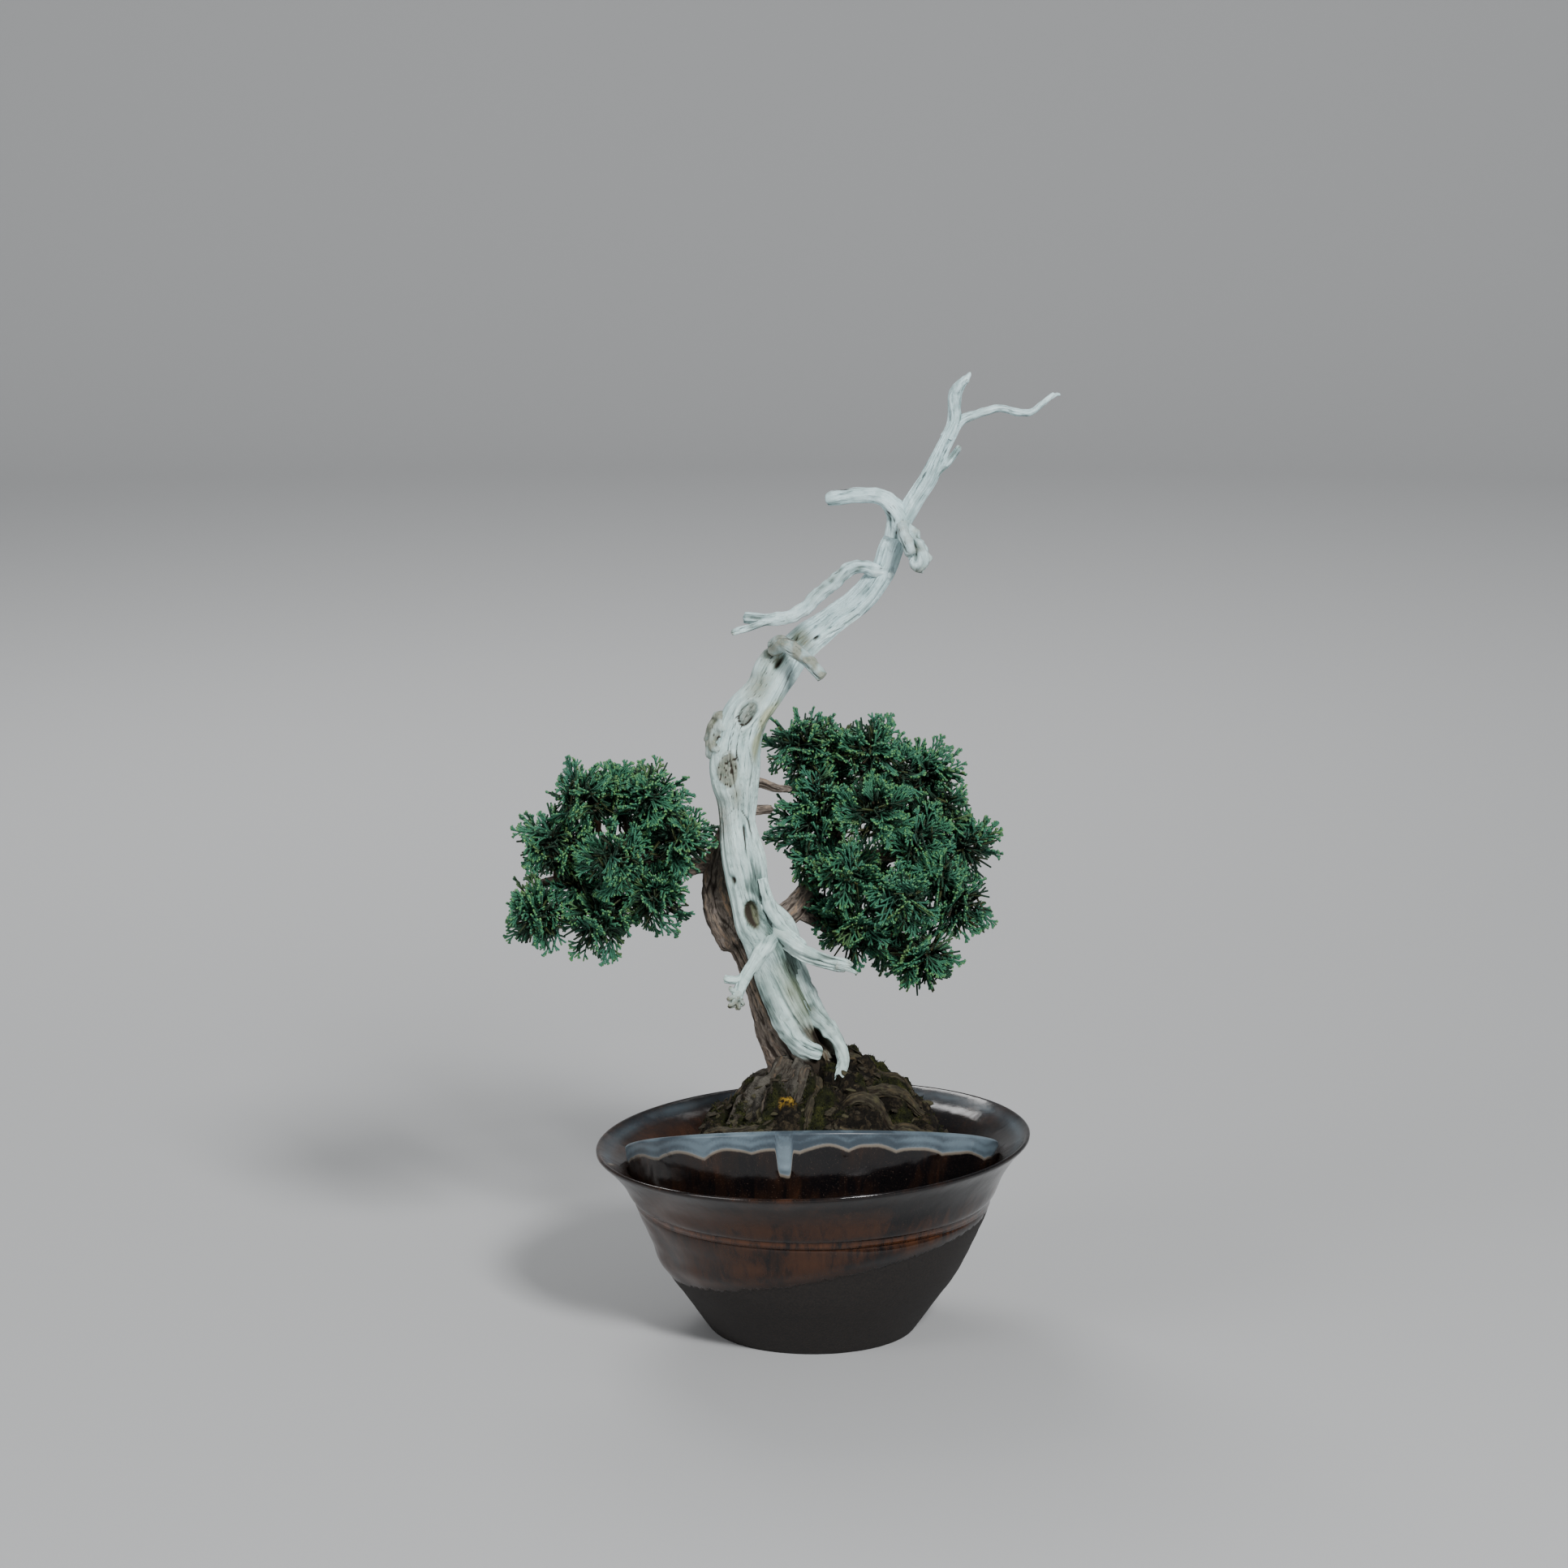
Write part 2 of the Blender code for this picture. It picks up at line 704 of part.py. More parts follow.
def nearest_limb_point(centre, side):
    """The limb point that a tuft's twig grows from, past the limb's first stretch."""
    best = None
    for name, route in LIMBS.items():
        if (name == "left") != (side == "left"):
            continue
        rows = smooth_route(route, 3.0)
        rows = rows[int(BARE_SHARE * len(rows)) :]
        for row in rows:
            distance = np.linalg.norm(row[:3] - centre)
            if best is None or distance < best[0]:
                best = (distance, row)
    return best[1]


def bark_surface():
    """The live wood's faces, for finding where a twig meets them."""
    mesh = bpy.data.objects["live_wood"].data
    corners = [vertex.co.copy() for vertex in mesh.vertices]
    return BVHTree.FromPolygons(corners, [tuple(face.vertices) for face in mesh.polygons])


def twig_route(centre, side, bark):
    """A twig from its limb's bark to the middle of a tuft, bowed a little upwards.

    Its flat end stands off the bark by the gap, however the bark slopes there. Round the
    middle of the tuft it swells into the small core of packed shoots.
    """
    limb = nearest_limb_point(np.asarray(centre, float), side)
    end = np.asarray(centre, float)
    ahead = (end - limb[:3]) / np.linalg.norm(end - limb[:3])
    hit, normal, _, _ = bark.ray_cast(Vector(end * MM), Vector(-ahead))
    facing = max(STEEPEST_BARK, abs(normal.dot(Vector(ahead))))
    stand_off = (GAP + TWIG_RADIUS * math.sqrt(1 - facing * facing)) / facing
    start = np.asarray(hit) / MM + ahead * stand_off
    middle = 0.5 * (start + end) + (0, 0, 0.06 * np.linalg.norm(end - start))
    middle = middle - ahead * 0.25 * CORE_RADIUS
    return [
        (*start, TWIG_RADIUS),
        (*middle, TWIG_RADIUS),
        (*(end - ahead * 1.05 * CORE_RADIUS), 0.45 * CORE_RADIUS),
        (*(end - ahead * 0.35 * CORE_RADIUS), 0.95 * CORE_RADIUS),
        (*(end + ahead * 0.45 * CORE_RADIUS), 0.92 * CORE_RADIUS),
        (*(end + ahead * 1.00 * CORE_RADIUS), 0.40 * CORE_RADIUS),
    ]


def wood_spheres(routes, step=2.0):
    """Spheres along routes, which together stand for their tubes."""
    return np.vstack([smooth_route(route, step) for route in routes])


def shoot(rng, root, ahead, length):
    """Points and faces of one forked shoot, and the two ends of each of its cords.

    The stem is a three-sided prism that bends upwards and twists. Past its plain part,
    each side of two short stretches is drawn out into a pointed side cord.
    """
    side = ahead.orthogonal().normalized()
    side.rotate(Quaternion(ahead, rng.uniform(0, 2 * math.pi)))
    other = ahead.cross(side)
    plain = length - TIP_CORD - 2 * WHORL_HEIGHT
    stations = [0.0, plain, plain + WHORL_HEIGHT, plain + 2 * WHORL_HEIGHT]
    rings = len(stations)
    points = []
    centres = []
    for ring, station in enumerate(stations):
        centre = root + ahead * station + RISE * (station * station / length)
        centres.append(centre)
        for k in range(3):
            turn = 2 * math.pi * k / 3 + CORD_TWIST * ring
            away = side * math.cos(turn) + other * math.sin(turn)
            points.append(centre + away * CORD_RADIUS * (1 - CORD_TAPER * ring))
    faces = [(2, 1, 0), (0, 1, 4, 3), (1, 2, 5, 4), (2, 0, 3, 5)]
    cords = [(centres[0].lerp(centres[1], 0.3), centres[1])]
    for ring in range(1, rings - 1):
        for k in range(3):
            a = 3 * ring + k
            b = 3 * ring + (k + 1) % 3
            corners = (a, b, b + 3, a + 3)
            middle = sum((points[c] for c in corners), Vector()) / 4
            outward = middle - centres[ring]
            outward -= ahead * outward.dot(ahead)
            outward.normalize()
            reach = SIDE_CORD * (1.2 - 0.2 * ring) * rng.uniform(0.85, 1.1)
            along = (outward * rng.uniform(0.6, 0.85) + ahead * 0.75).normalized()
            end = middle + (along + RISE) * reach
            points.append(end)
            cords.append((middle, end))
            for i in range(4):
                faces.append((corners[i], corners[(i + 1) % 4], len(points) - 1))
    end = root + (ahead + RISE) * length
    cords.append((centres[1], end))
    points.append(end)
    last = 3 * (rings - 1)
    for k in range(3):
        faces.append((last + k, last + (k + 1) % 3, len(points) - 1))
    return points, faces, cords


def cord_samples(tips):
    """Points along each cord of a shoot."""
    return np.array([tuple(a.lerp(b, share)) for a, b in tips for share in (0.0, 0.35, 0.7, 1.0)])


def is_clear(samples, home, others, spheres):
    """Whether all cords stay in their tuft's own space, off the wood and off each other."""
    for other in others:
        across = other - home
        distance = np.linalg.norm(across)
        beyond = (samples - (home + other) / 2) @ (across / distance)
        if beyond.max() > -TUFT_CLEARANCE:
            return False
    away = np.linalg.norm(samples[:, None] - spheres[None, :, :3], axis=2) - spheres[None, :, 3]
    return bool(away.min() > WOOD_CLEARANCE)


def even_directions(count, axis):
    """Directions spread evenly over the part of a sphere that faces outwards."""
    golden = math.pi * (3 - math.sqrt(5))
    tilt = Vector((0, 0, 1)).rotation_difference(axis)
    for k in range(count):
        height = 1 - SHOOT_SPREAD * (k + 0.5) / count
        ring = math.sqrt(max(0.0, 1 - height * height))
        direction = Vector((ring * math.cos(golden * k), ring * math.sin(golden * k), height))
        direction.rotate(tilt)
        yield direction.normalized()


def make_tuft(name, centre, others, twig, outward, spheres, material, rng):
    """One tuft: a twig and its small core, with forked shoots sunk into it all round."""
    home = np.asarray(centre, float)
    core = tube(twig, 5, material, 6.5, flute=0.12, flutes=2, name=name)
    shoots = []
    taken = np.zeros((0, 4))
    for direction in even_directions(SHOOTS_PER_TUFT, outward):
        root = Vector(centre) + direction * SHOOT_ROOT
        for attempt in range(ATTEMPTS):
            length = TUFT_REACH * (1.0 - 0.4 * attempt / ATTEMPTS) - SHOOT_ROOT
            wander = Vector([rng.uniform(-1, 1) for _ in range(3)]) * (0.12 + 0.03 * attempt)
            ahead = (direction + wander).normalized()
            points, faces, cords = shoot(rng, root, ahead, length)
            samples = cord_samples(cords)
            if is_clear(samples, home, others, np.vstack([spheres, taken])):
                shoots.append(make_object("shoot", [tuple(p) for p in points], faces, material))
                far = samples[np.linalg.norm(samples - home, axis=1) > CORE_RADIUS]
                spare = np.full(len(far), CORD_CLEARANCE - WOOD_CLEARANCE)
                taken = np.vstack([taken, np.column_stack([far, spare])])
                break
    boolean(core, shoots, "UNION", "MANIFOLD")
    return len(shoots)


def make_foliage():
    """Every tuft of both masses, each kept to its own space and off all the wood."""
    rng = random.Random(SEED)
    leaf = finish("scale_leaf", GREEN, 0.55)
    bark = bark_surface()
    plan = []
    for side, centres in (("left", LEFT_TUFTS), ("right", RIGHT_TUFTS)):
        middle = np.mean(np.asarray(centres, float), axis=0)
        for number, centre in enumerate(centres, 1):
            outward = Vector(np.asarray(centre, float) - middle).normalized()
            outward = (outward + Vector((0, 0, 0.35))).normalized()
            name = f"foliage_{side}_{number:02d}"
            plan.append((name, centre, twig_route(centre, side, bark), outward))
    wood = wood_spheres([TRUNK, *JINS.values(), VEIN, *LIMBS.values()])
    for i, (name, centre, twig, outward) in enumerate(plan):
        rest = plan[:i] + plan[i + 1 :]
        others = [np.asarray(row[1], float) for row in rest]
        spheres = np.vstack([wood, wood_spheres([row[2] for row in rest])])
        near = np.linalg.norm(spheres[:, :3] - np.asarray(centre, float), axis=1) < 45
        made = make_tuft(name, centre, others, twig, outward, spheres[near], leaf, rng)
        print(name, "shoots", made)


clear_scene()
make_pot()
make_drain_meshes()
make_live_wood()
make_foliage()
make_deadwood()
cutter = finish("cutter", MOSS, 0.9)
make_mound([live_strip(cutter, GAP), *deadwood_tubes(cutter, GAP)])
make_soil([live_strip(cutter, GAP)])
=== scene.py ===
"""Itoigawa juniper bonsai in its glazed bowl: the looks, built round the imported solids.

Lengths are in millimetres until a mesh is made, and in metres from there on. The bowl's base
is centred on the origin, +Z is up, and the tree is seen from -Y.
"""

import math

import bpy
import numpy as np
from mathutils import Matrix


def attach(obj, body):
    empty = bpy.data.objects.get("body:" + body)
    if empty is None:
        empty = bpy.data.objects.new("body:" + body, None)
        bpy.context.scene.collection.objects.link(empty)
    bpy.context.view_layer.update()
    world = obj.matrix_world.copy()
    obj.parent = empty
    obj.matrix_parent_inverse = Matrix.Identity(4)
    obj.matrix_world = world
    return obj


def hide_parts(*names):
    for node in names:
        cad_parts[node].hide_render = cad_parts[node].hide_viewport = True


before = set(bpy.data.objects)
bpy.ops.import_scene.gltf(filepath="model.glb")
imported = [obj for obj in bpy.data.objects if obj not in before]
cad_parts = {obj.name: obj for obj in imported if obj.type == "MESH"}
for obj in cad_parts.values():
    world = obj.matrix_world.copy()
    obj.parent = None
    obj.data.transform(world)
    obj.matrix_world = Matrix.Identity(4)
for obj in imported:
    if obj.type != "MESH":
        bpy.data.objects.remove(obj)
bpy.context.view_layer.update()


# The view: a long lens a little above the bowl, a pale floor that curves up into a wall, and
# four soft lamps. None of it belongs to the tree.
camera_data = bpy.data.cameras.new("camera")
camera_data.lens = 100
camera_data.sensor_width = 36
camera = bpy.data.objects.new("camera", camera_data)
camera.location = (-0.01255, -1.84412, 0.59713)
camera.rotation_euler = (math.radians(79.1), 0, 0)
bpy.context.scene.collection.objects.link(camera)
bpy.context.scene.camera = camera


def to_linear(red, green, blue):
    """A display colour, 0 to 255 a channel, as the linear colour that shaders take."""
    share = np.array([red, green, blue]) / 255
    return (*np.where(share > 0.04045, ((share + 0.055) / 1.055) ** 2.4, share / 12.92), 1.0)


class Value:
    """A socket, with arithmetic that adds Math nodes, so shader maths reads as an expression."""

    def __init__(self, finish, socket):
        self.finish = finish
        self.socket = socket

    def maths(self, operation, *others):
        return self.finish.add("Math", {"operation": operation}, dict(enumerate([self, *others])))

    def __add__(self, other):
        return self.maths("ADD", other)

    def __mul__(self, other):
        return self.maths("MULTIPLY", other)

    def __sub__(self, other):
        return self.maths("SUBTRACT", other)

    def __rsub__(self, other):
        return self.finish.add("Math", {"operation": "SUBTRACT"}, {0: other, 1: self})

    def __truediv__(self, other):
        return self.maths("DIVIDE", other)

    def __pow__(self, other):
        return self.maths("POWER", other)

    __radd__ = __add__
    __rmul__ = __mul__

    def step(self, low, high):
        """0 below low and 1 above high, eased between them."""
        settings = {"interpolation_type": "SMOOTHSTEP"}
        return self.finish.add("MapRange", settings, {0: self, 1: low, 2: high})


class Finish:
    """One material. Its add method makes any node: settings first, then values or links."""

    def __init__(self, name):
        self.material = bpy.data.materials.new(name)
        self.material.use_nodes = True
        self.tree = self.material.node_tree
        self.tree.nodes.clear()

    def add(self, kind, settings=None, sockets=None, out=0):
        node = self.tree.nodes.new("ShaderNode" + kind)
        for key, value in (settings or {}).items():
            if key == "stops":
                while len(node.color_ramp.elements) < len(value):
                    node.color_ramp.elements.new(0.5)
                for element, (place, colour) in zip(node.color_ramp.elements, value):
                    element.position = place
                    element.color = colour
            else:
                setattr(node, key, value)
        for key, value in (sockets or {}).items():
            if isinstance(value, Value):
                self.tree.links.new(value.socket, node.inputs[key])
            else:
                node.inputs[key].default_value = value
        return Value(self, node.outputs[out]) if len(node.outputs) else None

    def stretch(self, vector, shares):
        """A vector with each of its parts times a share."""
        return self.add("VectorMath", {"operation": "MULTIPLY"}, {0: vector, 1: shares})

    def place(self):
        """The point on the object in millimetres."""
        return self.stretch(self.add("TexCoord", out="Object"), (1000, 1000, 1000))

    def attribute(self, name):
        """The three marks of that name that the mesh's points carry."""
        return self.add("Attribute", {"attribute_name": name}, out="Vector")

    def split(self, vector):
        """The three parts of a vector."""
        node = self.add("SeparateXYZ", None, {0: vector}).socket.node
        return [Value(self, socket) for socket in node.outputs]

    def noise(self, vector, scale, detail=3.0, roughness=0.55, distortion=0.0):
        """Cloudy noise from 0 to 1, with that many clouds to a unit of the vector."""
        names = ("Vector", "Scale", "Detail", "Roughness", "Distortion")
        values = (vector, scale, detail, roughness, distortion)
        return self.add("TexNoise", None, dict(zip(names, values)))

    def ramp(self, value, *stops):
        """Display colours at shares from 0 to 1, blended between them."""
        settings = {"stops": [(place, to_linear(*colour)) for place, colour in stops]}
        return self.add("ValToRGB", settings, {0: value})

    def mix(self, share, first, second, blend="MIX"):
        """The first colour where the share is 0 and the second where it is 1."""
        first, second = (to_linear(*end) if isinstance(end, tuple) else end for end in (first, second))
        settings = {"data_type": "RGBA", "blend_type": blend}
        return self.add("Mix", settings, {0: share, 6: first, 7: second}, out=2)

    def layered(self, colour, *layers):
        """A colour with others mixed over it in turn: the share, the other and the blend."""
        for share, other, *blend in layers:
            colour = self.mix(share, colour, other, *blend)
        return colour

    def shade(self, colour, roughness, height=None, depth=0.0005, **fixed):
        """Joins the shader up: colour, roughness and a height in shares of depth, in metres."""
        sockets = {"Base Color": colour, "Roughness": roughness}
        if height is not None:
            bump = {"Strength": 1.0, "Distance": depth, "Height": height}
            sockets["Normal"] = self.add("Bump", None, bump)
        sockets.update({key.replace("_", " "): value for key, value in fixed.items()})
        surface = self.add("BsdfPrincipled", None, sockets)
        self.add("OutputMaterial", None, {"Surface": surface})
        return self.material


def together(*parts):
    """Arrays spread to one shape and put side by side along a new last axis."""
    return np.stack(np.broadcast_arrays(*parts), axis=-1)


def turns_round(count):
    """Even turns round a circle, as the second axis of a grid."""
    return np.linspace(0, 2 * math.pi, count, endpoint=False)[None, :]


def ring_faces(rows, turns):
    """The walls of a tube of that many rows, and fans to the two poles that follow its points."""
    here = np.arange(rows * turns).reshape(rows, turns)
    beside = np.roll(here, -1, axis=1)
    walls = together(here[:-1], beside[:-1], beside[1:], here[1:]).reshape(-1, 4)
    foot = together(beside[0], here[0], rows * turns)
    head = together(here[-1], beside[-1], rows * turns + 1)
    return walls, np.vstack([foot, head])


FLOOR_REACH = 3.2
COVE_RADIUS = 1.0
WALL_HEIGHT = 1.7


def cove():
    """A round floor that turns up through a quarter circle and goes on as a wall.

    One parameter runs along that profile, from a small hole under the bowl, and the other
    turns it round the middle.
    """
    bend = np.linspace(0, math.pi / 2, 24)
    out = np.concatenate([[0.001], FLOOR_REACH + COVE_RADIUS * np.sin(bend)])[:, None]
    up = np.concatenate([[0.0], COVE_RADIUS * (1 - np.cos(bend))])[:, None]
    out, up = np.vstack([out, out[-1:]]), np.vstack([up, [[WALL_HEIGHT]]])
    turn = turns_round(96)
    grid = together(out * np.cos(turn), out * np.sin(turn), up)
    return grid.reshape(-1, 3), ring_faces(*grid.shape[:2])[0][:, ::-1]


points, quads = cove()
floor_mesh = bpy.data.meshes.new("floor")
floor_mesh.from_pydata(points.tolist(), [], quads.tolist())
floor_mesh.shade_smooth()
floor = bpy.data.objects.new("floor", floor_mesh)
bpy.context.scene.collection.objects.link(floor)
paper = Finish("pale_paper")
floor_mesh.materials.append(paper.shade(to_linear(172, 173, 174), 0.9))

for name, place, target, size, watts in (
    ("key_lamp", (0.75, -1.6, 1.45), (0, 0, 0.2), 0.4, 62),
    ("side_lamp", (-1.5, -1.1, 0.8), (0, 0, 0.2), 0.9, 15),
    ("back_lamp", (-0.5, 1.3, 1.6), (0, 0, 0.2), 0.8, 18),
    ("wall_lamp", (0, 1.6, 2.4), (0, 4.2, 0.4), 1.6, 48),
):
    lamp_data = bpy.data.lights.new(name, "AREA")
    lamp_data.size = size
    lamp_data.energy = watts
    lamp = bpy.data.objects.new(name, lamp_data)
    lamp.location = place
    aim = np.array(target) - place
    lamp.rotation_euler = (
        math.acos(-aim[2] / np.linalg.norm(aim)),
        0,
        math.atan2(aim[1], aim[0]) - math.pi / 2,
    )
    bpy.context.scene.collection.objects.link(lamp)

world = bpy.data.worlds.new("room")
world.use_nodes = True
world.node_tree.nodes["Background"].inputs["Color"].default_value = (0.80, 0.83, 0.86, 1)
world.node_tree.nodes["Background"].inputs["Strength"].default_value = 0.25
bpy.context.scene.world = world


# The deadwood trunk: the bare heart of the tree, dried silver-white and split along its grain.
# One swept surface, with its flutes, fibres, cracks, knots and hollows worked into its radius.
# It is solid wood and runs from the mound up to the base of the top jins.
MM = 0.001
TRUNK = [
    (7, 2, 106, 10.0), (5, 1, 118, 11.0), (-1, 0, 131, 11.5), (-8, -2, 146, 11.5),
    (-14, -4, 161, 12.0), (-19, -6, 175, 12.5), (-25, -7, 186, 9.6), (-28, -8, 196, 8.4),
    (-30, -8, 208, 8.6), (-32, -8, 219, 7.6), (-33, -7, 228, 6.8), (-33, -6, 237, 7.8),
    (-34, -5, 248, 10.0), (-33, -4, 259, 10.6), (-29, -2, 271, 10.2), (-21, 0, 282, 8.5),
    (-15, 2, 291, 8.4), (-9, 4, 299, 7.4), (-3, 5, 305, 7.0), (3, 6, 309, 6.5), (10, 6, 314.3, 5.8),
    (17, 5, 319, 5.6), (23, 4, 325, 5.4), (27.5, 3, 331, 5.1), (31, 3, 337, 4.8),
    (33.2, 2, 343.5, 4.9), (35.6, 1, 349.6, 4.5), (37.3, 0, 355, 4.1), (40, -1, 360.3, 3.8),
    (43.5, -2, 366.6, 3.7), (48.2, -3, 373.8, 3.7), (51.6, -4, 381, 3.4), (54.7, -4, 388, 3.0),
    (57.8, -4, 394, 3.0), (60.3, -4, 399, 2.8),
]
TRUNK_TURNS = 190
TRUNK_STEP = 0.95
TRUNK_TWIST = 0.006  # radians that the grain winds in a millimetre
# Burls: middle, how far they swell and how wide
BURLS = [
    ((-19.5, -4.5, 300.5), 4.4, 6.4), ((-21.0, -3.0, 292.0), 2.4, 5.0),
    ((-27.0, -11.0, 181.0), 1.6, 7.0),
]
# Places on the front (side -1) or back (side 1): kind, side, x, z, half width, half length
SPOTS = [
    ("knot", -1, -28.5, 274.8, 3.1, 4.8), ("rot", -1, -36.8, 250.5, 5.0, 8.2),
    ("hollow", -1, -26.6, 187.4, 4.0, 6.6), ("pin", -1, -34.5, 202.7, 0.9, 1.7),
    ("pin", -1, -18.2, 300.8, 1.5, 2.1), ("pin", -1, -15.0, 296.0, 1.3, 3.2),
    ("pin", -1, -8.0, 305.5, 0.8, 1.2), ("pin", -1, -7.4, 301.4, 0.7, 1.6),
    ("pin", -1, 1.5, 305.6, 0.8, 1.5), ("knot", -1, -20.6, 191.2, 1.2, 1.5),
    ("stain", -1, -4.0, 305.0, 6.5, 5.0), ("stain", -1, -15.5, 297.5, 2.6, 4.6),
    ("cream", -1, -20.0, 273.0, 2.6, 11.0), ("cream", -1, -24.5, 262.0, 1.8, 9.0),
    ("green", -1, -23.0, 286.0, 6.0, 9.0), ("green", -1, -33.0, 240.0, 3.0, 7.0),
    ("green", -1, -20.0, 300.0, 6.0, 6.0), ("knot", 1, -26.0, 262.0, 3.4, 5.2),
    ("hollow", 1, -17.0, 291.0, 2.4, 4.6), ("rot", 1, -34.0, 236.0, 3.4, 7.0),
    ("knot", 1, 14.0, 314.0, 2.0, 3.2), ("cream", 1, -31.0, 220.0, 3.5, 14.0),
]
# Long drying cracks, as lines over the front or back: side, half width, depth, points (x, z)
SPLITS = [
    (-1, 0.40, 1.0, [(-29.5, 226), (-28.8, 216), (-27.0, 205), (-24.0, 194)]),
    (-1, 0.32, 0.8, [(-26.2, 222), (-24.8, 212), (-22.8, 200), (-20.0, 188), (-15, 178)]),
    (-1, 0.30, 0.7, [(-6.2, 298), (-10, 291), (-15, 281), (-18, 274)]),
    (-1, 0.38, 0.8, [(-38, 229), (-34.5, 233.5), (-30.5, 233), (-27.3, 228), (-26, 221)]),
    (-1, 0.25, 0.5, [(6, 307), (12, 310), (19, 316)]),
    (-1, 0.25, 0.4, [(36, 348), (38, 357), (43, 367)]),
    (-1, 0.30, 0.8, [(-14, 166), (-10, 152), (-4, 139), (3, 130)]),
    (-1, 0.25, 0.6, [(-10, 168), (-5, 154), (1, 142), (8, 132)]),
    (-1, 0.25, 0.6, [(-18, 168), (-15, 156), (-9, 143), (-2, 132)]),
    (-1, 0.30, 0.7, [(-31, 268), (-28, 262), (-26, 252), (-27, 243)]),
    (1, 0.50, 1.4, [(-22, 282), (-28, 262), (-30, 240), (-30, 215), (-26, 195)]),
    (1, 0.40, 1.0, [(6, 309), (18, 316), (28, 328), (33, 345)]),
    (1, 0.45, 1.2, [(-20, 176), (-14, 158), (-6, 142), (2, 128)]),
]
VALLEY = [(-14, 168), (-9, 154), (-2, 141), (6, 130), (9, 116)]  # between the two low ridges
# Heights at which the valley begins and is full, at which it grows deep, and at which the rot
# in it and the rot of the trunk's foot begin and are full
VALLEY_TOP = (172, 162)
VALLEY_DEEP = (144, 130)
ROT_TOP = (141, 132)
FOOT_ROT_TOP = (125, 119)
# This dark patch is a painted shadow on the trunk's left edge.
PAINTED_SHADOW = (-41, 228, 5, 9)  # a dark patch: x, z, half width, half length


def lattice_noise(places, seed):
    """Random numbers from -1 to 1 on a cubic lattice, eased between the eight round a place."""
    size = 32
    lattice = np.random.default_rng(seed).uniform(-1, 1, (size, size, size))
    low = np.floor(places).astype(int)
    part = places - low
    ease = part * part * (3 - 2 * part)
    total = np.zeros(places.shape[:-1])
    for corner in np.ndindex(2, 2, 2):
        share = np.prod(np.where(corner, ease, 1 - ease), axis=-1)
        at = (low + corner) % size
        total += share * lattice[at[..., 0], at[..., 1], at[..., 2]]
    return total


def eased(value, low, high):
    """0 below low and 1 above high, with a cubic ease between them."""
    share = np.clip((value - low) / (high - low), 0, 1)
    return share * share * (3 - 2 * share)


def follow(route, step):
    """Run, x, y, z and radius at even steps along a Catmull-Rom curve through a route."""
    rows = np.asarray(route, float)
    padded = np.vstack([2 * rows[0] - rows[1], rows, 2 * rows[-1] - rows[-2]])[:, None]
    p0, p1, p2, p3 = padded[:-3], padded[1:-2], padded[2:-1], padded[3:]
    t = np.linspace(0, 1, 16, endpoint=False)[None, :, None]
    curve = 2 * p1 + (p2 - p0) * t + (2 * p0 - 5 * p1 + 4 * p2 - p3) * t**2
    curve = 0.5 * (curve + (3 * p1 - p0 - 3 * p2 + p3) * t**3)
    fine = np.vstack([curve.reshape(-1, rows.shape[1]), rows[-1:]])
    run = np.concatenate([[0], np.cumsum(np.linalg.norm(np.diff(fine[:, :3], axis=0), axis=1))])
    places = np.linspace(0, run[-1], max(3, round(run[-1] / step) + 1))
    return np.column_stack([places, *(np.interp(places, run, column) for column in fine.T)])


def square_to(centres):
    """The direction of a path at each point, and two directions square to it and each other."""
    ahead = np.gradient(centres, axis=0)
    ahead /= np.linalg.norm(ahead, axis=1, keepdims=True)
    across = np.cross((0, 1, 0), ahead)
    across /= np.linalg.norm(across, axis=1, keepdims=True)
    return ahead, across, np.cross(ahead, across)


def fibres(turn, run, fineness, stretch, seed):
    """Noise read on a circle that many cells wide, and slowly along: long streaks, no seam."""
    ahead = stretch * run + 0.37 * seed + 0 * turn
    ring = together(fineness * np.cos(turn), fineness * np.sin(turn), ahead)
    return lattice_noise(ring + 16, seed)


def ways_round(first, second, turn):
    """The directions at turns from the first towards the second, at each place on a path."""
    return first[:, None] * np.cos(turn)[..., None] + second[:, None] * np.sin(turn)[..., None]


def swept(route, step, turns, twist, seed=0, flat=1):
    """A route's run, centres and radius, the ways out round it, its grain and its streaks.

    The ways out lie on a circle square to the route, flattened by a share. The grain is the
    place in the wood, wound round by the twist, and the streaks are noise that winds with it.
    """
    rows = follow(route, step)
    run, centres, radius = rows[:, :1], rows[:, 1:4], rows[:, 4:]
    _, across, facing = square_to(centres)
    turn = turns_round(turns)
    outward = ways_round(across, flat * facing, turn)
    wound = turn + twist * run
    grain = together(radius * np.cos(wound), radius * np.sin(wound), run)

    def streaks(fineness, stretch, layer):
        return fibres(wound, run, fineness, stretch, seed + layer)

    return run, centres, radius, outward, grain, streaks


def bell(value):
    """A bell round 0: e to the power of minus the value squared."""
    return np.exp(-(value**2))


def tube_shell(surface, marks):
    """A closed shell: a grid that joins up round its second axis, with a fan over each end."""

    def with_poles(grid):
        ends = [grid[0].mean(axis=0), grid[-1].mean(axis=0)]
        return np.vstack([grid.reshape(-1, grid.shape[-1]), ends])

    shell_marks = {name: with_poles(grid) for name, grid in marks.items()}
    return with_poles(surface), ring_faces(*surface.shape[:2]), shell_marks


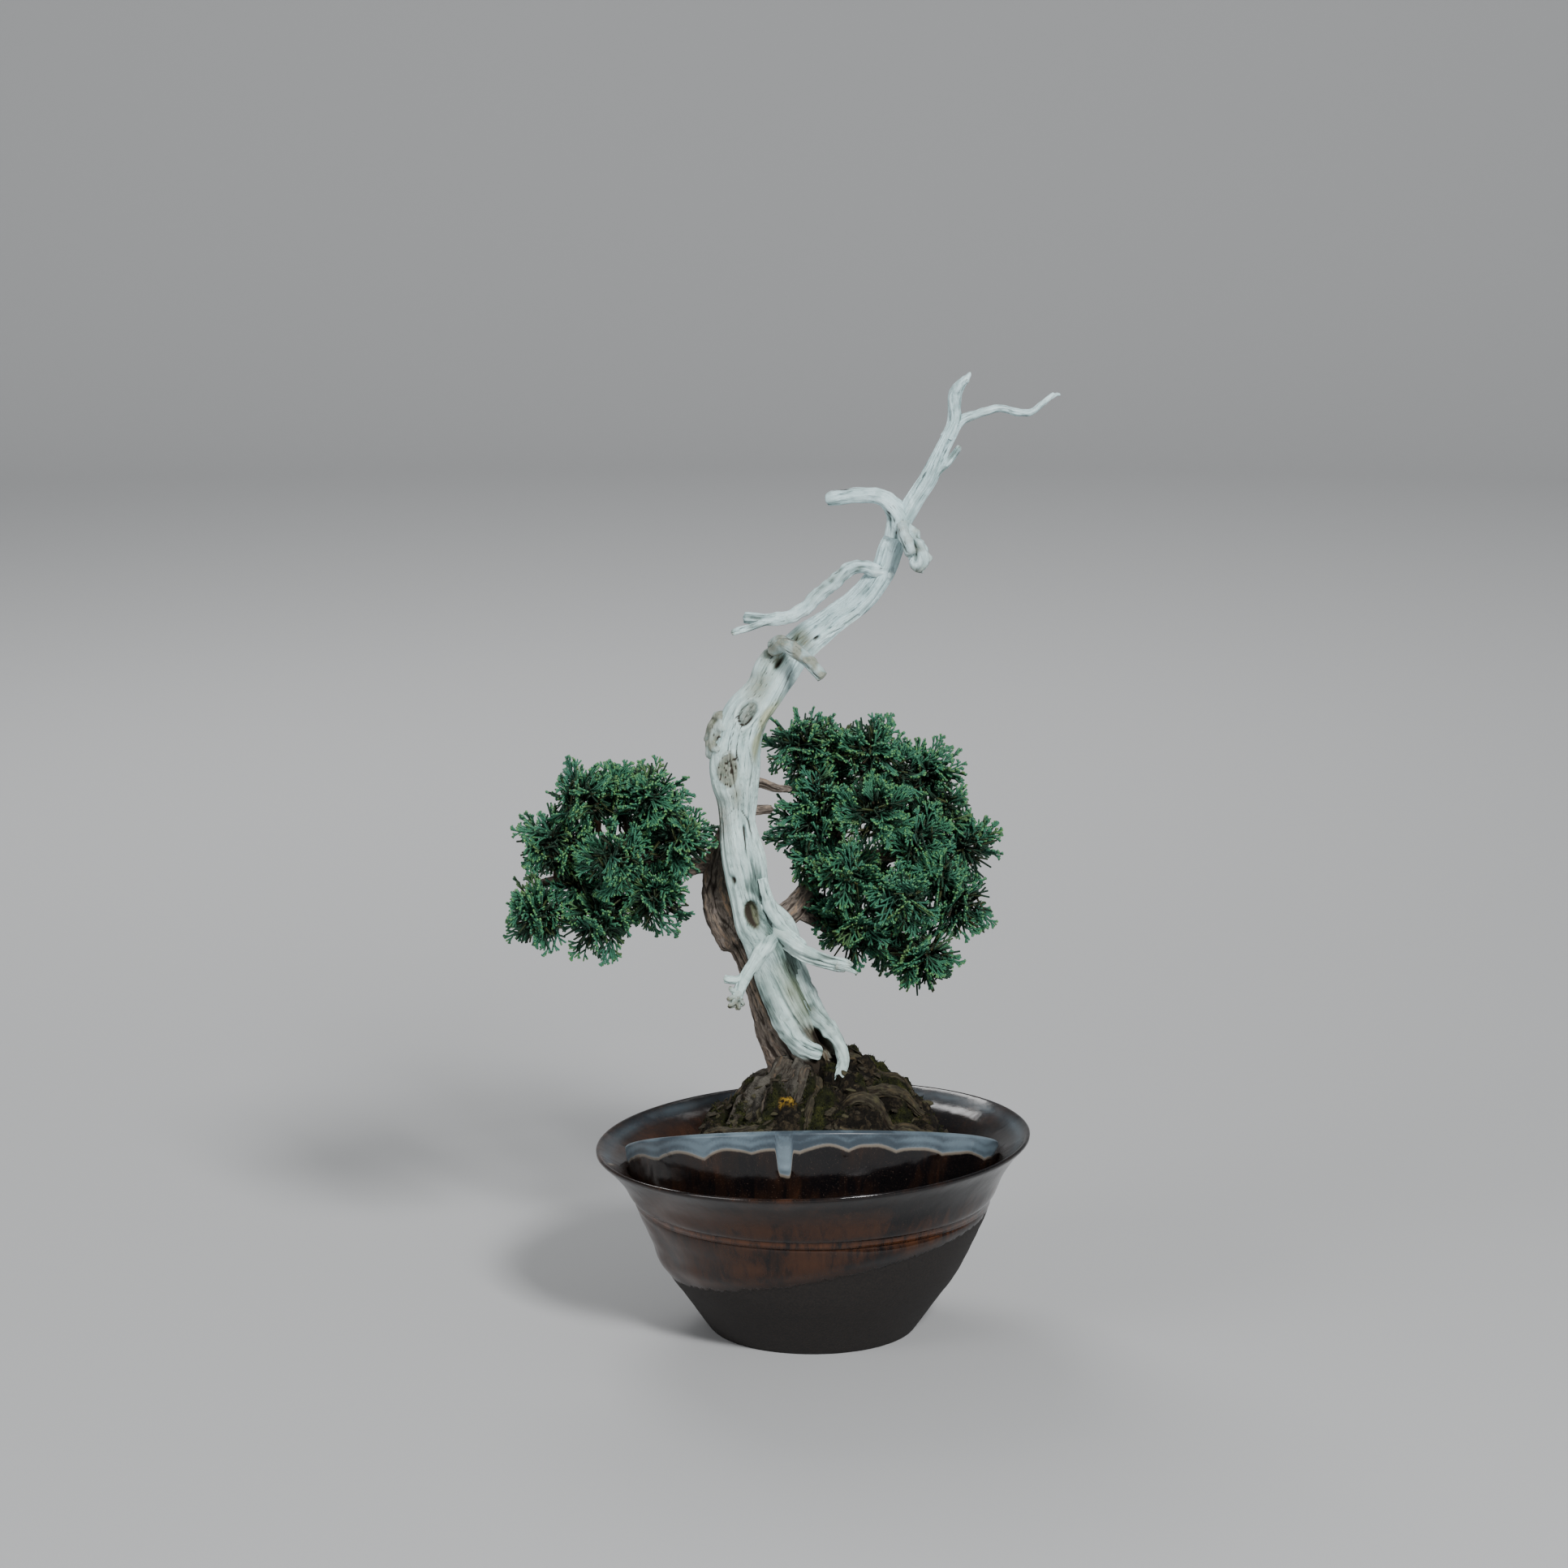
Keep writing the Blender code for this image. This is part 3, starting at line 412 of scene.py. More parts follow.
def make_piece(name, shells, material):
    """One object at the origin from shells of points in millimetres, faces and point marks."""
    points = np.vstack([shell[0] for shell in shells]) * MM
    faces = []
    start = 0
    for shell_points, groups, _ in shells:
        for group in groups:
            faces.extend((group + start).tolist())
        start += len(shell_points)
    mesh = bpy.data.meshes.new(name)
    mesh.from_pydata(points.tolist(), [], faces)
    mesh.shade_smooth()
    for mark in shells[0][2]:
        values = np.vstack([shell[2][mark] for shell in shells]).astype(np.float32)
        attribute = mesh.attributes.new(mark, "FLOAT_VECTOR", "POINT")
        attribute.data.foreach_set("vector", values.ravel())
    mesh.materials.append(material)
    piece = bpy.data.objects.new(name, mesh)
    bpy.context.scene.collection.objects.link(piece)
    return piece


def line_distance(x, z, line):
    """The distance in the XZ plane from each point to a line through several corners."""
    ends = np.asarray(line, float)
    nearest = np.full(x.shape, np.inf)
    for (x0, z0), (x1, z1) in zip(ends[:-1], ends[1:]):
        length = (x1 - x0) ** 2 + (z1 - z0) ** 2
        share = np.clip(((x - x0) * (x1 - x0) + (z - z0) * (z1 - z0)) / length, 0, 1)
        gap = np.hypot(x - x0 - share * (x1 - x0), z - z0 - share * (z1 - z0))
        nearest = np.minimum(nearest, gap)
    return nearest


def trunk_surface():
    """The trunk: at each turn and run, the path's radius plus flutes, fibres, cracks and spots.

    Flutes are streaky noise of a share of the radius, and swellings are soft noise in space.
    Fibres are finer streaks of a fixed size. A crack is where one more streaky noise crosses
    zero, or a line that is listed, broken up along its length. A spot is an ellipse on the
    front or back: a sunk knot in a lip, a dished hollow or a stain.
    """
    _, centres, radius, outward, grain, streaks = swept(TRUNK, TRUNK_STEP, TRUNK_TURNS, TRUNK_TWIST)
    ahead, across, _ = square_to(centres)
    flutes = radius * (0.15 * streaks(1.2, 0.022, 3) + 0.10 * streaks(2.4, 0.018, 4))
    surface = centres[:, None] + outward * (radius + flutes)[..., None]
    for middle, swell, width in BURLS:
        away = np.linalg.norm(surface - middle, axis=-1)
        surface = surface + outward * (swell * np.exp(-((away / width) ** 3)))[..., None]
    flutes = flutes + 0.9 * lattice_noise(surface * 0.075, 12)
    flutes = flutes + 0.5 * lattice_noise(surface * 0.19, 13)
    x, z = surface[..., 0], surface[..., 2]
    relief = 0.40 * streaks(6.0, 0.012, 7) + 0.24 * streaks(12, 0.02, 8) + 0.15 * streaks(24, 0.04, 9)
    kinds = ("crack", "algae", "brown", "grey", "rough", "cream")
    marks = {kind: np.zeros(x.shape) for kind in kinds}

    def mark(**amounts):
        for kind, amount in amounts.items():
            marks[kind] = np.maximum(marks[kind], amount)

    open_wood = eased(streaks(1.6, 0.02, 6), 0.2, 0.55)
    mark(
        crack=np.clip(1 - np.abs(streaks(4.6, 0.010, 5)) / 0.04, 0, 1) * open_wood,
        brown=0.3 * eased(streaks(2.2, 0.03, 10), 0.3, 0.7),
    )
    broken = lattice_noise(surface * 0.13, 14)
    for side, width, depth, line in SPLITS:
        gap = line_distance(x, z, line) / (width * (0.8 + 0.7 * broken))
        there = eased(side * outward[..., 1], 0.0, 0.35)
        mark(crack=bell(gap) * there * depth * eased(broken, -0.5, 0.0))
        relief += 0.28 * there * np.exp(-((gap - 3.0) ** 2) / 2)
    for kind, side, spot_x, spot_z, half_width, half_length in SPOTS:
        dx, dz = x - spot_x, z - spot_z
        along = dx * ahead[:, :1] + dz * ahead[:, 2:]
        beside = dx * across[:, :1] + dz * across[:, 2:]
        span = np.hypot(beside / half_width, along / half_length) + 0.22 * broken
        there = eased(side * outward[..., 1], 0.0, 0.3)
        inside = there * eased(span, 1.05, 0.85)
        ring = there * bell((span - 1) / 0.13)
        lip = there * bell((span - 1.33) / 0.24)
        soft = there * bell(span)
        if kind == "knot":
            relief += 1.2 * lip - 0.8 * ring - 1.3 * inside * (1 - 0.5 * soft)
            mark(crack=ring * eased(broken - 0.5 * along / half_length, -0.9, 0.3))
            mark(rough=0.6 * inside, brown=0.4 * inside, grey=0.9 * soft)
        elif kind == "rot":
            relief += 0.6 * lip - 1.3 * there * eased(span, 1.15, 0.45)
            mark(rough=inside, grey=inside, algae=0.45 * inside)
        elif kind == "hollow":
            relief += 0.5 * lip - 4.6 * inside * np.sqrt(np.clip(1 - span**2, 0, 1))
            # In a hollow the dark crack colour is laid thicker towards one side: painted shade.
            shade = eased(beside / half_width + 0.5 * broken, 0.35, -0.35)
            mark(algae=0.7 * inside, grey=inside, crack=inside * (0.35 + 0.6 * shade))
        elif kind == "pin":
            relief -= 1.7 * soft
            mark(crack=0.8 * soft, brown=0.8 * there * np.exp(-(span**2) / 2.0))
        elif kind == "stain":
            mark(brown=0.7 * soft, algae=0.6 * soft)
        elif kind == "cream":
            mark(cream=soft)
        else:
            mark(algae=0.5 * soft, grey=0.75 * soft)
    # Below the first jins the wood has weathered away between the two ridges that stayed, and
    # at the bottom it has rotted into a dark, mossy hollow.
    valley = line_distance(x, z, VALLEY)
    sunk = eased(-outward[..., 1], 0.05, 0.5) * np.exp(-((valley / 6.6) ** 4))
    sunk = sunk * eased(z, *VALLEY_TOP)
    hole = np.maximum(sunk * eased(z, *ROT_TOP), eased(z, *FOOT_ROT_TOP))
    # low marks the trunk's low places, between flutes and fibres and down the valley, for painted shade
    # there.
    low = np.clip(0.45 - (relief + 0.7 * flutes) / 2.2, 0, 1) + 0.25 * sunk
    relief -= sunk * (2.4 + 4.6 * eased(z, *VALLEY_DEEP))
    relief += sunk * (0.8 * streaks(7, 0.012, 15) + 0.4 * streaks(14, 0.02, 16))
    mark(algae=sunk * (0.55 + 0.45 * broken), cream=0.35 * sunk, brown=0.9 * hole, grey=1.5 * hole)
    mark(crack=hole * eased(broken, -0.9, 0.1))
    lump = lattice_noise(surface * 1.3 + 7, 11)
    relief += marks["rough"] * 0.55 * lump - 0.8 * np.minimum(marks["crack"], 1)
    relief += 0.5 * lattice_noise(surface * 0.5, 17) * marks["grey"]
    # The dark patch greys the wood as a painted shadow.
    shadow_x, shadow_z, half_width, half_length = PAINTED_SHADOW
    shadow_patch = np.exp(-(((x - shadow_x) / half_width) ** 2 + ((z - shadow_z) / half_length) ** 2))
    mark(crack=marks["rough"] * eased(lump, -0.2, -0.6), grey=1.4 * shadow_patch)
    # The tone carries the grey, the painted shade of the low places, and the cream.
    tone = together(marks["grey"], low, marks["cream"])
    stains = together(marks["crack"], marks["algae"], marks["brown"])
    surface = surface + outward * (relief + flutes * 0.35)[..., None]
    return tube_shell(surface, {"grain": grain, "marks": stains, "tone": tone})


def silver_wood():
    """Bare wood: grey-white streaks along the grain, dark cracks, green hollows, brown stains.

    The wood is bluish white high up, and warmer and greyer lower down. Painted shade darkens
    its low places, the hollows of its relief.
    """
    finish = Finish("silver_wood")
    grain = finish.attribute("grain")
    crack, algae, brown = finish.split(finish.attribute("marks"))
    # low is painted shade for the wood's low places.
    grey, low, cream = finish.split(finish.attribute("tone"))
    height = finish.split(finish.place())[2]
    long_way = finish.stretch(grain, (1, 1, 0.06))
    streaks = finish.noise(long_way, 1.1, 5, 0.62, 0.25)
    hair = finish.noise(long_way, 3.4, 3, 0.6, 0.2)
    patches = finish.noise(finish.place(), 0.075, 4, 0.55)
    blotches = finish.noise(finish.place(), 0.22, 4, 0.6, 0.5)
    spots = finish.noise(finish.place(), 0.5, 3, 0.6)
    # The ramp is shifted darker where the wood lies low: painted shade.
    base = finish.ramp(
        streaks * 0.60 + hair * 0.40 - (low - 0.45) * 0.20,
        (0.27, (84, 100, 103)), (0.37, (150, 176, 180)),
        (0.46, (198, 226, 230)), (0.68, (224, 248, 251)),
    )
    warm = (height + (patches - 0.5) * 220).step(330, 250)
    uneven = (patches.step(0.46, 0.64) * 0.45).maths("MAXIMUM", blotches.step(0.50, 0.68) * 0.4)
    weathered = finish.mix(spots.step(0.34, 0.56), (88, 87, 78), (156, 162, 154))
    hairline = (streaks * 0.7 + hair * 0.3).step(0.39, 0.34) * 0.5
    colour = finish.layered(
        base,
        (warm * 0.5, (242, 238, 222), "MULTIPLY"),
        # A grey-green multiply over the lowest places: more painted shade.
        (low.step(0.5, 1.0) * 0.8, (140, 150, 142), "MULTIPLY"),
        (uneven, (160, 174, 168), "MULTIPLY"),
        (cream.step(0.1, 0.8) * 0.8, (226, 204, 160), "MULTIPLY"),
        ((grey * (spots.step(0.3, 0.6) * 0.5 + 0.5)).maths("MINIMUM", 1), weathered),
        ((brown * (hair.step(0.3, 0.7) * 0.6 + 0.4)).step(0.1, 0.95), (98, 76, 54)),
        (algae.step(0.05, 0.95) * (streaks.step(0.25, 0.6) * 0.5 + 0.4), (104, 108, 70)),
        (crack.step(0.15, 0.85).maths("MAXIMUM", hairline), (48, 41, 33)),
    )
    relief = streaks * 0.6 + hair * 0.5 - hairline * 0.7 + spots * grey * 0.6
    return finish.shade(colour, 0.70 + grey * 0.2, relief, 0.0010, Specular_IOR_Level=0.3)


silver = silver_wood()
trunk = make_piece("bare_trunk", [trunk_surface()], silver)
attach(trunk, "root")
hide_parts("deadwood")


# The jins: dead branches stripped of their bark and carved to points or torn off. They are one
# piece of wood with the trunk, grown out of it, and their grain runs into it in collars.
# Name: turns round it, length of its closing end, how ragged it is, flatness, lumps, greyness
# and route
JINS = {
    "top": (34, 1.4, 1.0, 1.0, 0.3, 0.0, [
        (57, -4, 392, 2.2), (60, -4, 399, 2.8), (59.9, -4, 406, 2.7), (60, -5, 411, 2.7),
        (62.0, -7, 415.0, 2.1), (65, -8, 418.2, 1.3)]),
    "top_spur": (14, 0.7, 1.0, 1.0, 0.2, 0.1, [
        (63.6, -8, 416.6, 1.1), (65.2, -8, 419.0, 0.8), (66.0, -8, 420.6, 0.4)]),
    "thin_right": (24, 0.7, 0.8, 1.0, 0.5, 0.15, [
        (60, -3, 397, 2.0), (64, -2, 400, 1.8), (70, 0, 402, 1.5), (79, 3, 404, 1.4),
        (87, 6, 402, 1.4), (93, 8, 402, 1.3), (98, 9, 406, 1.1), (103, 11, 409.5, 0.9)]),
    "thin_right_spur": (12, 0.5, 1.0, 1.0, 0.2, 0.2, [
        (101, 10, 408, 0.8), (104, 11, 409.2, 0.6), (105.5, 11, 408.6, 0.4)]),
    "stub_right": (28, 1.2, 1.4, 1.0, 0.4, 0.15, [
        (46, -2, 371, 1.6), (52, -4, 377, 2.0), (57, -4, 381.8, 1.9), (60.2, -3.5, 385.6, 1.6),
        (62.4, -3, 388.6, 1.3)]),
    "arch_left": (40, 0.5, 0.5, 1.0, 0.3, 0.05, [
        (36.6, -1, 350, 4.2), (36.4, -2, 357, 4.5), (33.9, -2, 362.2, 4.1), (28.5, 0, 366.2, 3.3),
        (22, 3, 367.0, 3.0), (13.5, 6, 366.0, 2.8), (5.5, 9, 364.2, 2.6)]),
    "broken_front": (40, 0.5, 0.4, 1.0, 0.3, 0.45, [
        (37, 0, 357, 3.0), (38, -7, 353, 2.8), (39.5, -13, 348.5, 2.6), (41, -18, 344.5, 2.5)]),
    "broken_chunk": (56, 1.2, 1.2, 1.0, 1.5, 0.5, [
        (39, -5, 353, 2.6), (43, -10, 347.5, 3.8), (45, -13, 342, 4.2), (43, -15, 336.5, 2.9)]),
    "long_left": (36, 0.9, 0.3, 0.9, 0.5, 0.25, [
        (32, 3, 334, 3.2), (27, 0, 335, 3.0), (21, -3, 337, 2.9), (15, -5, 336, 3.0),
        (9, -8, 331, 3.2), (2, -10, 326, 3.0), (-3, -12, 321, 2.8), (-10, -13, 317, 2.7),
        (-19, -14, 316, 2.4), (-30, -15, 317, 2.3)]),
    "long_left_prong": (24, 1.2, 1.2, 0.9, 0.4, 0.3, [
        (-13, -13, 316, 1.9), (-20, -15, 315, 1.6), (-27, -18, 313, 1.4), (-35, -20, 311, 1.3)]),
    "hook": (48, 0.5, 0.3, 1.0, 0.4, 0.95, [
        (-16, -6, 303, 3.2), (-13, -11, 305, 3.3), (-8, -16, 303, 3.1), (-2, -20, 298.5, 2.8),
        (4, -23, 292, 2.4)]),
    "knot_left": (60, 3.5, 0.8, 1.0, 1.5, 1.0, [
        (-35, -5, 259, 7.0), (-39, -5, 265, 5.6), (-40, -5, 271, 3.8), (-39, -5, 275, 2.4)]),
    "knot_low": (48, 3.0, 0.8, 1.0, 1.4, 0.9, [
        (-37, -5, 262, 5.0), (-41, -6, 258, 4.2), (-43, -6, 253, 2.8)]),
    "low_left": (44, 1.6, 0.8, 0.85, 0.2, 0.05, [
        (-17, -8, 178, 4.6), (-20, -16, 175, 3.5), (-25, -20, 168, 2.8), (-30, -23, 161, 2.6),
        (-33, -26, 153, 2.3)]),
    "low_left_prong": (22, 0.7, 0.9, 0.8, 0.2, 0.0, [
        (-28, -22, 163, 1.9), (-33, -24, 161, 1.7), (-38.5, -26, 162, 1.7)]),
    "low_left_nub_1": (20, 0.7, 1.6, 1.0, 1.0, 1.1, [
        (-32, -25, 155, 1.7), (-35, -27, 153.5, 1.3), (-37.2, -28, 153.6, 0.9)]),
    "low_left_nub_2": (20, 0.7, 1.6, 1.0, 1.0, 1.1, [
        (-32, -25, 154, 1.8), (-34.5, -28, 151, 1.5), (-36.8, -29, 150.4, 0.9)]),
    "low_left_nub_3": (20, 0.7, 1.6, 1.0, 1.0, 1.2, [
        (-32.5, -26, 153, 1.8), (-32.4, -27, 150.5, 1.5), (-31.6, -28, 148.6, 1.1)]),
    "low_left_nub_4": (16, 0.6, 1.6, 1.0, 0.8, 0.8, [
        (-33, -25, 156, 1.3), (-35.0, -26, 157, 1.0), (-35.8, -26, 158.8, 0.6)]),
    "low_left_nub_5": (16, 0.6, 1.6, 1.0, 0.8, 1.2, [
        (-32.5, -26, 153, 1.5), (-30.6, -27, 151.4, 1.2), (-29.6, -28, 150.6, 0.8)]),
    "low_right": (56, 2.2, 1.1, 0.9, 0.5, 0.15, [
        (-18, -8, 182, 4.2), (-12, -13, 178, 3.3), (-5, -17, 173.4, 2.7), (2, -20, 170.6, 2.4),
        (9, -22.5, 168.8, 2.2), (16.5, -25, 167.4, 2.0)]),
    "low_right_strand": (30, 1.8, 1.2, 0.8, 0.4, 0.3, [
        (-15, -10, 177, 2.8), (-8, -15, 171.4, 2.0), (-1, -19, 168.0, 1.6), (7, -22, 166.4, 1.5),
        (14, -25, 165.4, 1.2)]),
    "low_right_splinter": (18, 1.0, 1.2, 0.8, 0.4, 0.6, [
        (10, -24, 167.6, 1.4), (15.5, -26, 166.2, 1.1), (19.2, -27, 164.4, 0.6)]),
    "low_right_ridge": (30, 3.0, 0.3, 0.9, 0.3, 0.0, [
        (-22, -12, 203, 1.6), (-20, -13.6, 195, 2.4), (-17, -13.6, 187, 2.8), (-11, -13.6, 179.5, 2.6),
        (-3, -17.5, 174, 1.8)]),
    "ridge_left": (44, 1.8, 0.2, 1.0, 0.3, 0.1, [
        (-22, -10, 176, 3.5), (-22, -11, 164, 3.8), (-19, -11, 152, 3.9), (-15, -10, 142, 3.9),
        (-10, -10, 133, 3.8), (-3, -9, 127, 3.6), (4, -8, 124, 3.2)]),
    "shell_right": (48, 2.6, 0.5, 0.8, 0.4, 0.3, [
        (-9, -5, 170, 3.8), (-5.5, -5, 156, 4.2), (-1, -4, 144, 4.4), (5.5, -4, 136, 4.1),
        (11.0, -5, 129, 3.1), (13.4, -8, 122.5, 2.6), (12.6, -12, 117.5, 2.3), (8.6, -16, 113.0, 1.7)]),
}
JIN_STEP = 0.6
JIN_TWIST = 0.02


def jin_surface(turns, taper, ragged, flat, lumps, greyness, route, seed):
    """A jin: the route's radius, plus flutes, fibres and cracks, closing in at a torn end.

    The end closes along a quarter ellipse whose length is the taper, made longer and shorter
    round the turn by streaky noise, so a ragged end breaks up into splinters.
    """
    sweep = swept(route, JIN_STEP, turns, JIN_TWIST, seed, flat)
    run, centres, radius, outward, grain, streaks = sweep
    flute = 0.18 * streaks(0.9, 0.06, 0) + 0.16 * streaks(1.9, 0.04, 1)
    strands = 0.26 * streaks(4, 0.05, 2) + 0.14 * streaks(9, 0.1, 3)
    spread = centres[:, None] + outward * radius[..., None]
    swell = 0.35 * lattice_noise(spread * 0.22, seed) + lumps * lattice_noise(spread * 0.38, seed)
    torn = streaks(1.6, 0, 4) + 0.6 * streaks(4, 0, 5)
    fade = taper * (1 + ragged * np.clip(torn * 1.8, -0.9, 2.2))
    left = np.clip((run[-1] - run) / fade, 0.0, 1.0)
    closing = np.sqrt(1 - (1 - left) ** 2) * 0.93 + 0.07
    crack = np.clip(1 - np.abs(streaks(1.7, 0.03, 6)) / 0.08, 0, 1)
    crack = crack * eased(streaks(1.1, 0.06, 7), 0.0, 0.4)
    crack = crack * min(1, radius.max() / 3.5)
    flare = 0.35 * radius[0] * np.exp(-run / (1.2 * radius[0]))
    size = radius * (1 + flute) + strands + swell * (radius / 3) + flare - 0.5 * crack
    surface = centres[:, None] + outward * (size * closing)[..., None]
    near_end = eased(run, run[-1] - 2.5 * taper, run[-1]) * ragged
    # low marks the jin's low places, between flutes, strands and swellings, for painted shade there.
    low = np.clip(0.45 - (radius * flute + strands + swell) / 1.6, 0, 1)
    brown = 0.6 * near_end * eased(torn, -0.2, 0.5) + 0.2 * eased(flute, 0.1, 0.25)
    crack = np.maximum(crack, 0.7 * near_end * eased(-torn, 0.2, 0.7))
    grey = greyness * (0.5 + 0.8 * eased(lattice_noise(spread * 0.3, seed + 8), -0.4, 0.5))
    marks = together(crack, 0.35 * grey, brown)
    # The tone carries the grey, the painted shade of the low places, and cream near a torn end.
    tone = together(grey, low, 0.3 * near_end)
    return tube_shell(surface, {"grain": grain, "marks": marks, "tone": tone})


shells = [jin_surface(*values, seed) for values, seed in zip(JINS.values(), range(20, 999, 9))]
jins = make_piece("bare_branches", shells, silver)
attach(jins, "root")
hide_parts("deadwood")


# The live wood: the strip that still carries sap up the trunk's left and back, and the limbs
# that it feeds. It is living wood in flaky, fissured bark, grown on to the dead trunk.
VEIN = [
    (0, 9, 42, 5.0), (-1, 8, 62, 9.0), (-3, 7, 84, 12.0), (-5, 7, 106, 13.0),
    (-9, 6, 120, 11.5), (-17, 6, 134, 9.2), (-23, 6, 148, 8.6), (-29, 6, 162, 8.2),
    (-34, 8, 174, 8.2), (-38, 9, 186, 8.2), (-40, 11, 197, 7.6), (-40, 13, 206, 6.4),
    (-38, 18, 214, 4.8), (-37, 21, 222, 3.4),
]
LIMBS = {
    "left": [
        (-38, 11, 200, 5.4), (-47, 12, 204, 4.2), (-56, 10, 203, 3.5), (-68, 8, 206, 3.0),
        (-80, 6, 211, 2.6), (-92, 5, 208, 2.2), (-106, 4, 201, 1.9), (-120, 2, 197, 1.6),
    ],
    "right": [
        (-34, 9, 174, 7.6), (-24, 16, 176, 6.6), (-13, 20, 179, 5.8), (-4, 24, 187, 4.9),
        (4, 28, 199, 4.0), (11, 32, 213, 3.3), (18, 35, 226, 2.6), (24, 37, 238, 2.0),
    ],
    "far_right": [
        (2, 27, 197, 3.6), (18, 33, 202, 3.0), (34, 36, 203, 2.5), (50, 37, 199, 2.0),
    ],
    "low_right": [
        (-9, 22, 183, 4.0), (2, 27, 175, 3.0), (12, 30, 168, 2.4), (24, 32, 163, 2.1),
        (38, 30, 160, 1.8),
    ],
    "stub_upper": [(-32, 4, 241, 3.0), (-24, 9, 241, 2.4), (-16, 12, 238, 1.9), (-9, 14, 237, 1.4)],
    "stub_lower": [(-32, 4, 230, 2.8), (-24, 8, 229, 2.2), (-17, 10, 229, 1.8)],
}
BARK_STEP = 0.9
BARK_TWIST = 0.012
STRIP_TURNS = 112
LIMB_TURNS = 36
BARK_LIP = 169  # height of the edge below which the strip's bark has come off at the front


def bark_surface(route, turns, flake, seed, lip=None):
    """Bark: the route's radius, plus swellings, and long plates parted by fissures.

    A fissure is where streaky noise crosses zero. A plate stands out by a flake's thickness,
    and finer streaks roughen it. Just above the height of a lip the bark bulges, and below it
    the bark is gone from the side that faces left and the front.
    """
    sweep = swept(route, BARK_STEP, turns, BARK_TWIST, seed)
    run, centres, radius, outward, grain, streaks = sweep
    swell = 0.10 * streaks(0.8, 0.05, 0) + 0.07 * streaks(1.8, 0.04, 1)
    coarse = np.abs(streaks(2.6, 0.045, 2))
    fine = np.abs(streaks(5.5, 0.09, 3))
    fissure = np.maximum(eased(coarse, 0.14, 0.0), 0.7 * eased(fine, 0.12, 0.0))
    plate = np.sqrt(np.clip(coarse, 0, 1)) + 0.5 * np.sqrt(np.clip(fine, 0, 1))
    ends = np.sqrt(np.clip((run[-1] - run) / radius[-1], 0.02, 1))
    spread = centres[:, None] + outward * radius[..., None]
    lump = lattice_noise(spread * 0.6, seed + 4)
    size = (radius * (1 + swell) + flake * (plate - 0.7 + 0.5 * lump)) * ends
    if lip:
        height = centres[:, 2:] + 1.6 * lattice_noise(spread * 0.3, seed + 5)
        open_side = eased(-outward[..., 0] - 0.6 * outward[..., 1], -0.3, 0.5)
        gone = eased(height, lip + 1.2, lip - 1.2) * eased(height, lip - 42, lip - 14)
        size = size + open_side * (1.6 * bell((height - lip - 14) / 13) - 3.6 * gone)
    surface = centres[:, None] + outward * size[..., None]
    marks = together(fissure, plate / 1.5, lump * 0.5 + 0.5)
    return tube_shell(surface, {"grain": grain, "marks": marks})


def bark_shells(routes, turns, flake, seed):
    """The bark of several routes, each with streaks of its own."""
    return [bark_surface(route, turns, flake, seed + 7 * n) for n, route in enumerate(routes)]


def bark_finish(name, tint, dirt_and_shade):
    """Bark: purple-brown plates with tan edges and orange under-bark, and dark fissures.

    The tint is the colour of its palest plates, and a multiplying colour darkens the whole:
    grime, and for the roots in the mound also painted shade.
    """
    finish = Finish(name)
    grain = finish.attribute("grain")
    fissure, plate, lump = finish.split(finish.attribute("marks"))
    long_way = finish.stretch(grain, (1, 1, 0.22))
    streaks = finish.noise(long_way, 0.9, 5, 0.65, 0.6)
    hair = finish.noise(long_way, 3.5, 3, 0.6)
    base = finish.ramp(
        streaks * 0.75 + hair * 0.25,
        (0.28, (56, 51, 47)), (0.44, (102, 94, 88)),
        (0.56, (138, 130, 122)), (0.72, (174, 166, 154)),
    )
    edge = (plate - 0.2).step(0.15, 0.6) * streaks.step(0.45, 0.65)
    colour = finish.layered(
        base,
        (edge * 0.6, (172, 132, 92)),
        (lump.step(0.62, 0.85) * 0.5, tint),
        (0.999, dirt_and_shade, "MULTIPLY"),
        (fissure.step(0.25, 0.9) * 0.85, (36, 27, 21)),
    )
    height = streaks * 0.7 + hair * 0.3 - fissure * 0.4
    return finish.shade(colour, 0.85, height, 0.0011, Specular_IOR_Level=0.25)


bark = bark_finish("live_bark", (166, 156, 150), (248, 244, 240))
strip = bark_surface(VEIN, STRIP_TURNS, 0.8, 301, BARK_LIP)
limbs = bark_shells(LIMBS.values(), LIMB_TURNS, 0.4, 320)
live_wood = make_piece("bark_and_limbs", [strip, *limbs], bark)
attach(live_wood, "root")
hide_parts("live_wood")


# The foliage: tufts of scale-leaf cords on brown twigs, which grow from the limbs. Each tuft is
# a bunch of flat fans. Their straight cords are about a millimetre thick, fork at some 35
# degrees and end in short blunt fingers. Nothing fixes a tuft but its own twig.
# Middle of each tuft, and how far it reaches
LEFT_TUFTS = [
    (-98, -10, 238, 19), (-70, -8, 238, 19), (-114, -4, 216, 19), (-86, -18, 213, 19),
    (-58, -6, 219, 20), (-120, -7, 185, 19), (-94, -8, 182, 19), (-68, -4, 193, 19),
    (-84, 22, 232, 19), (-106, 24, 208, 19), (-72, 26, 208, 19), (-88, 20, 186, 19),
]
RIGHT_TUFTS = [
    (-5, 28, 253, 20), (25, 22, 254, 19), (50, 44, 238, 20), (-1, 22, 220.5, 22.5),
    (26, 9, 228, 20), (46, 20, 212, 19), (67, 36, 207, 19), (64, 24, 183, 19),
    (14, 10, 200, 20), (38, 6, 188, 19), (19, 18, 172, 19), (49, 20, 159, 19),
    (6, 56, 234, 20), (36, 62, 216, 20), (54, 58, 190, 19), (24, 58, 188, 20),
    (36, 48, 164, 19),
]
